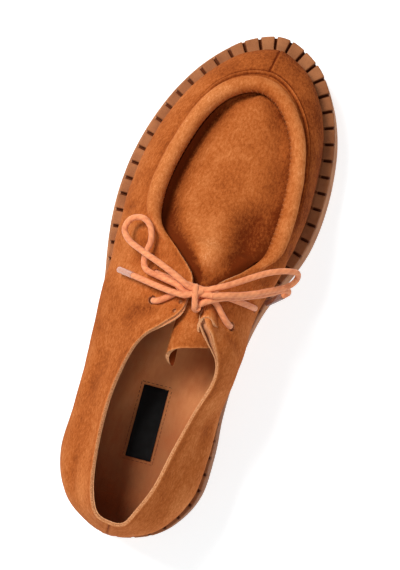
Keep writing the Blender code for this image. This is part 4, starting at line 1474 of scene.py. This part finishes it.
barForm = {
    # node, (row, mm down) of the lateral and medial eyelets, rows that the bar bends forward
    "lace_bar_rear": ((31.0, 17.0), (9.0, 17.0), 1.1),
    "lace_bar_front": ((29.5, 21.0), (10.5, 34.0), 0.0),
}


def barHalf(row, down, bend):
    # up through an eyelet, over the facing and to the throat
    lift = laceForm["diameter"] / 2 + 0.15
    side = 1 if row < toeRow else -1
    half = [onWall(row, down + 5.0, -5.0), onWall(row, down + 2.6, -2.2), onWall(row, down, 0.3)]
    for share in np.linspace(0.25, 1, round(down / 4)):
        forward = bend * float(smoothStep(share, 0.0, 1.0))
        half.append(onWall(row + side * forward, down + (0.8 - down) * share, lift + 0.75 * share))
    return half


knotForm = {
    # the wrap's long way over the bundle, and the strands that the bundle is made of
    "wrapMiddle": (9.6, -10.2, 95.2),
    "wrapAlong": (0.336, -0.942, 0.0),
    "wrapSide": (0.942, 0.336, 0.0),
    "wrapHalf": (5.4, 3.3),
    "wrapDrift": 1.6,  # mm that a turn moves to the side
    "wrapTurn": (0.15, 2 * math.pi + 0.35),
    "spacing": 0.6,
    "strands": (
        ((3.6, -6.2, 95.8), (7.4, -6.6, 95.6), (11.0, -5.6, 95.8), (15.0, -4.2, 95.8)),
        ((3.4, -9.4, 94.2), (7.4, -8.6, 94.4), (12.0, -7.6, 95.8), (17.2, -6.6, 97.0)),
        ((3.8, -11.0, 97.2), (7.0, -9.4, 97.4), (9.6, -7.8, 97.2), (11.6, -6.4, 96.4)),
        ((16.6, -9.2, 94.6), (14.2, -10.8, 95.4), (11.8, -13.4, 95.2), (11.0, -15.4, 93.6),
         (11.4, -15.4, 91.6)),
    ),
}


def buildKnot(finish):
    middle, along, side = (np.array(knotForm[name]) for name in ("wrapMiddle", "wrapAlong", "wrapSide"))
    turn = np.linspace(*knotForm["wrapTurn"], 72)[:, None]
    long, high = knotForm["wrapHalf"]
    drift = (turn / 6.6 - 0.5) * knotForm["wrapDrift"] * side
    wrap = middle + np.cos(turn) * long * along + np.sin(turn) * (0, 0, high) + drift
    lines = [wrap] + [smoothLine(strand, 10) for strand in knotForm["strands"]]
    parts = [laceTube("strand", evenly(line, knotForm["spacing"])) for line in lines]
    knot = joinPieces(parts, "lace_knot_tied")
    addFinishes(knot, [finish])
    return finishPiece(knot, "cord", "lace_knot")


def buildLace(cordFinish, sleeveFinish, paintedShadeSleeve):
    for node, (lateral, medial, bend) in barForm.items():
        route = barHalf(*lateral, bend) + barHalf(*medial, bend)[::-1]
        piece = laceTube(node + "_cord", laceLine(route, 10))
        addFinishes(piece, [cordFinish])
        finishPiece(piece, "cord", node)
    knot = buildKnot(cordFinish)
    lateralAglet = agletPiece("lateral", sleeveFinish)
    medialAglet = agletPiece("medial", paintedShadeSleeve)
    cordPiece("lace_loop_lateral", cordFinish)
    cordPiece("lace_loop_medial", cordFinish)
    cordPiece("lace_end_lateral", cordFinish)
    cordPiece("lace_end_medial", cordFinish)
    print("lace tied")


stitchForm = {
    "pitch": 2.7, "firstRow": 13.4, "thickness": 0.22, "slant": 1.0, "sides": 6,
    "down": (0.8, 1.2, 1.7, 2.2, 2.6, 3.0),  # mm down from the seam, over the roll's inner side
    "lift": (-0.4, 0.0, 0.08, 0.08, 0.0, -0.4),
}


def buildStitches(finish):
    row = np.linspace(stitchForm["firstRow"], allRows - stitchForm["firstRow"], 3000)
    length = runLength(topPoint(row))
    places = np.interp(np.arange(1.0, length[-1], stitchForm["pitch"]), length, row)
    slant = np.interp(places, row, np.gradient(row, length)) * stitchForm["slant"]
    down = np.array(stitchForm["down"])
    share = np.linspace(-0.5, 0.5, len(down))
    rows = (places[:, None] + slant[:, None] * share[None]).ravel()
    points, facing, roll = wallAt(rows, np.tile(down, len(places))[:, None])
    lift = np.tile(stitchForm["lift"], len(places))
    lines = (points[:, 0] + facing[:, 0] * lift[:, None]).reshape(len(places), len(down), 3)
    stitches = [tubeMesh("stitch", line, stitchForm["thickness"], stitchForm["sides"]) for line in lines]
    piece = joinPieces(stitches, "roll_stitches")
    addFinishes(piece, [finish])
    return finishPiece(piece, "suede")


def buildShoe():
    suedeUpper = suedeFinish("tanSuede")
    # a shaded copy of the suede: painted shade on the tongue's underside, inside its curl
    suedePaintedShade = suedeFinish("tanSuedePaintedShade", -0.8)
    lining = liningFinish("tanLining", (204, 128, 80), (232, 164, 116))
    rawEdge = rawEdgeFinish("rawEdge", (164, 94, 50), (218, 156, 108))
    paleEdge = rawEdgeFinish("paleRawEdge", (196, 126, 78), (236, 178, 130))
    sleeve = agletFinish("clearSleeve", (190, 122, 96), (222, 166, 142))
    # a shaded copy of the clear sleeve: painted shade on the medial aglet, which the loop shades
    paintedShadeSleeve = agletFinish("paintedShadeSleeve", (112, 62, 44), (146, 88, 66))
    buildLace(laceFinish(), sleeve, paintedShadeSleeve)
    buildUpper((suedeUpper, suedeUpper, rawEdge))
    buildLining((lining, paleEdge))
    buildApron(suedeFinish("tanSuedeApron", -0.04))
    buildTongue((suedeUpper, suedePaintedShade, paleEdge))
    buildScroll((suedeUpper, lining, paleEdge))
    # the welt's tan rubber, painted lighter for the light that the sole's side catches
    buildOutsole(rubberFinish("tanRubberPaintedLight", (160, 104, 68), (190, 132, 92)))
    buildWelt(rubberFinish("tanRubber", (146, 90, 56), (182, 120, 78)))
    buildInsole(liningFinish("insoleLeather", (230, 138, 80), (252, 171, 110)))
    buildLabel(labelFinish())
    buildLabelSeam(threadFinish("insoleThread", (112, 60, 36), (146, 86, 56)))
    buildStitches(threadFinish("suedeThread", (150, 80, 38), (192, 114, 62)))
    print("shoe dressed")


buildStudio()
buildShoe()
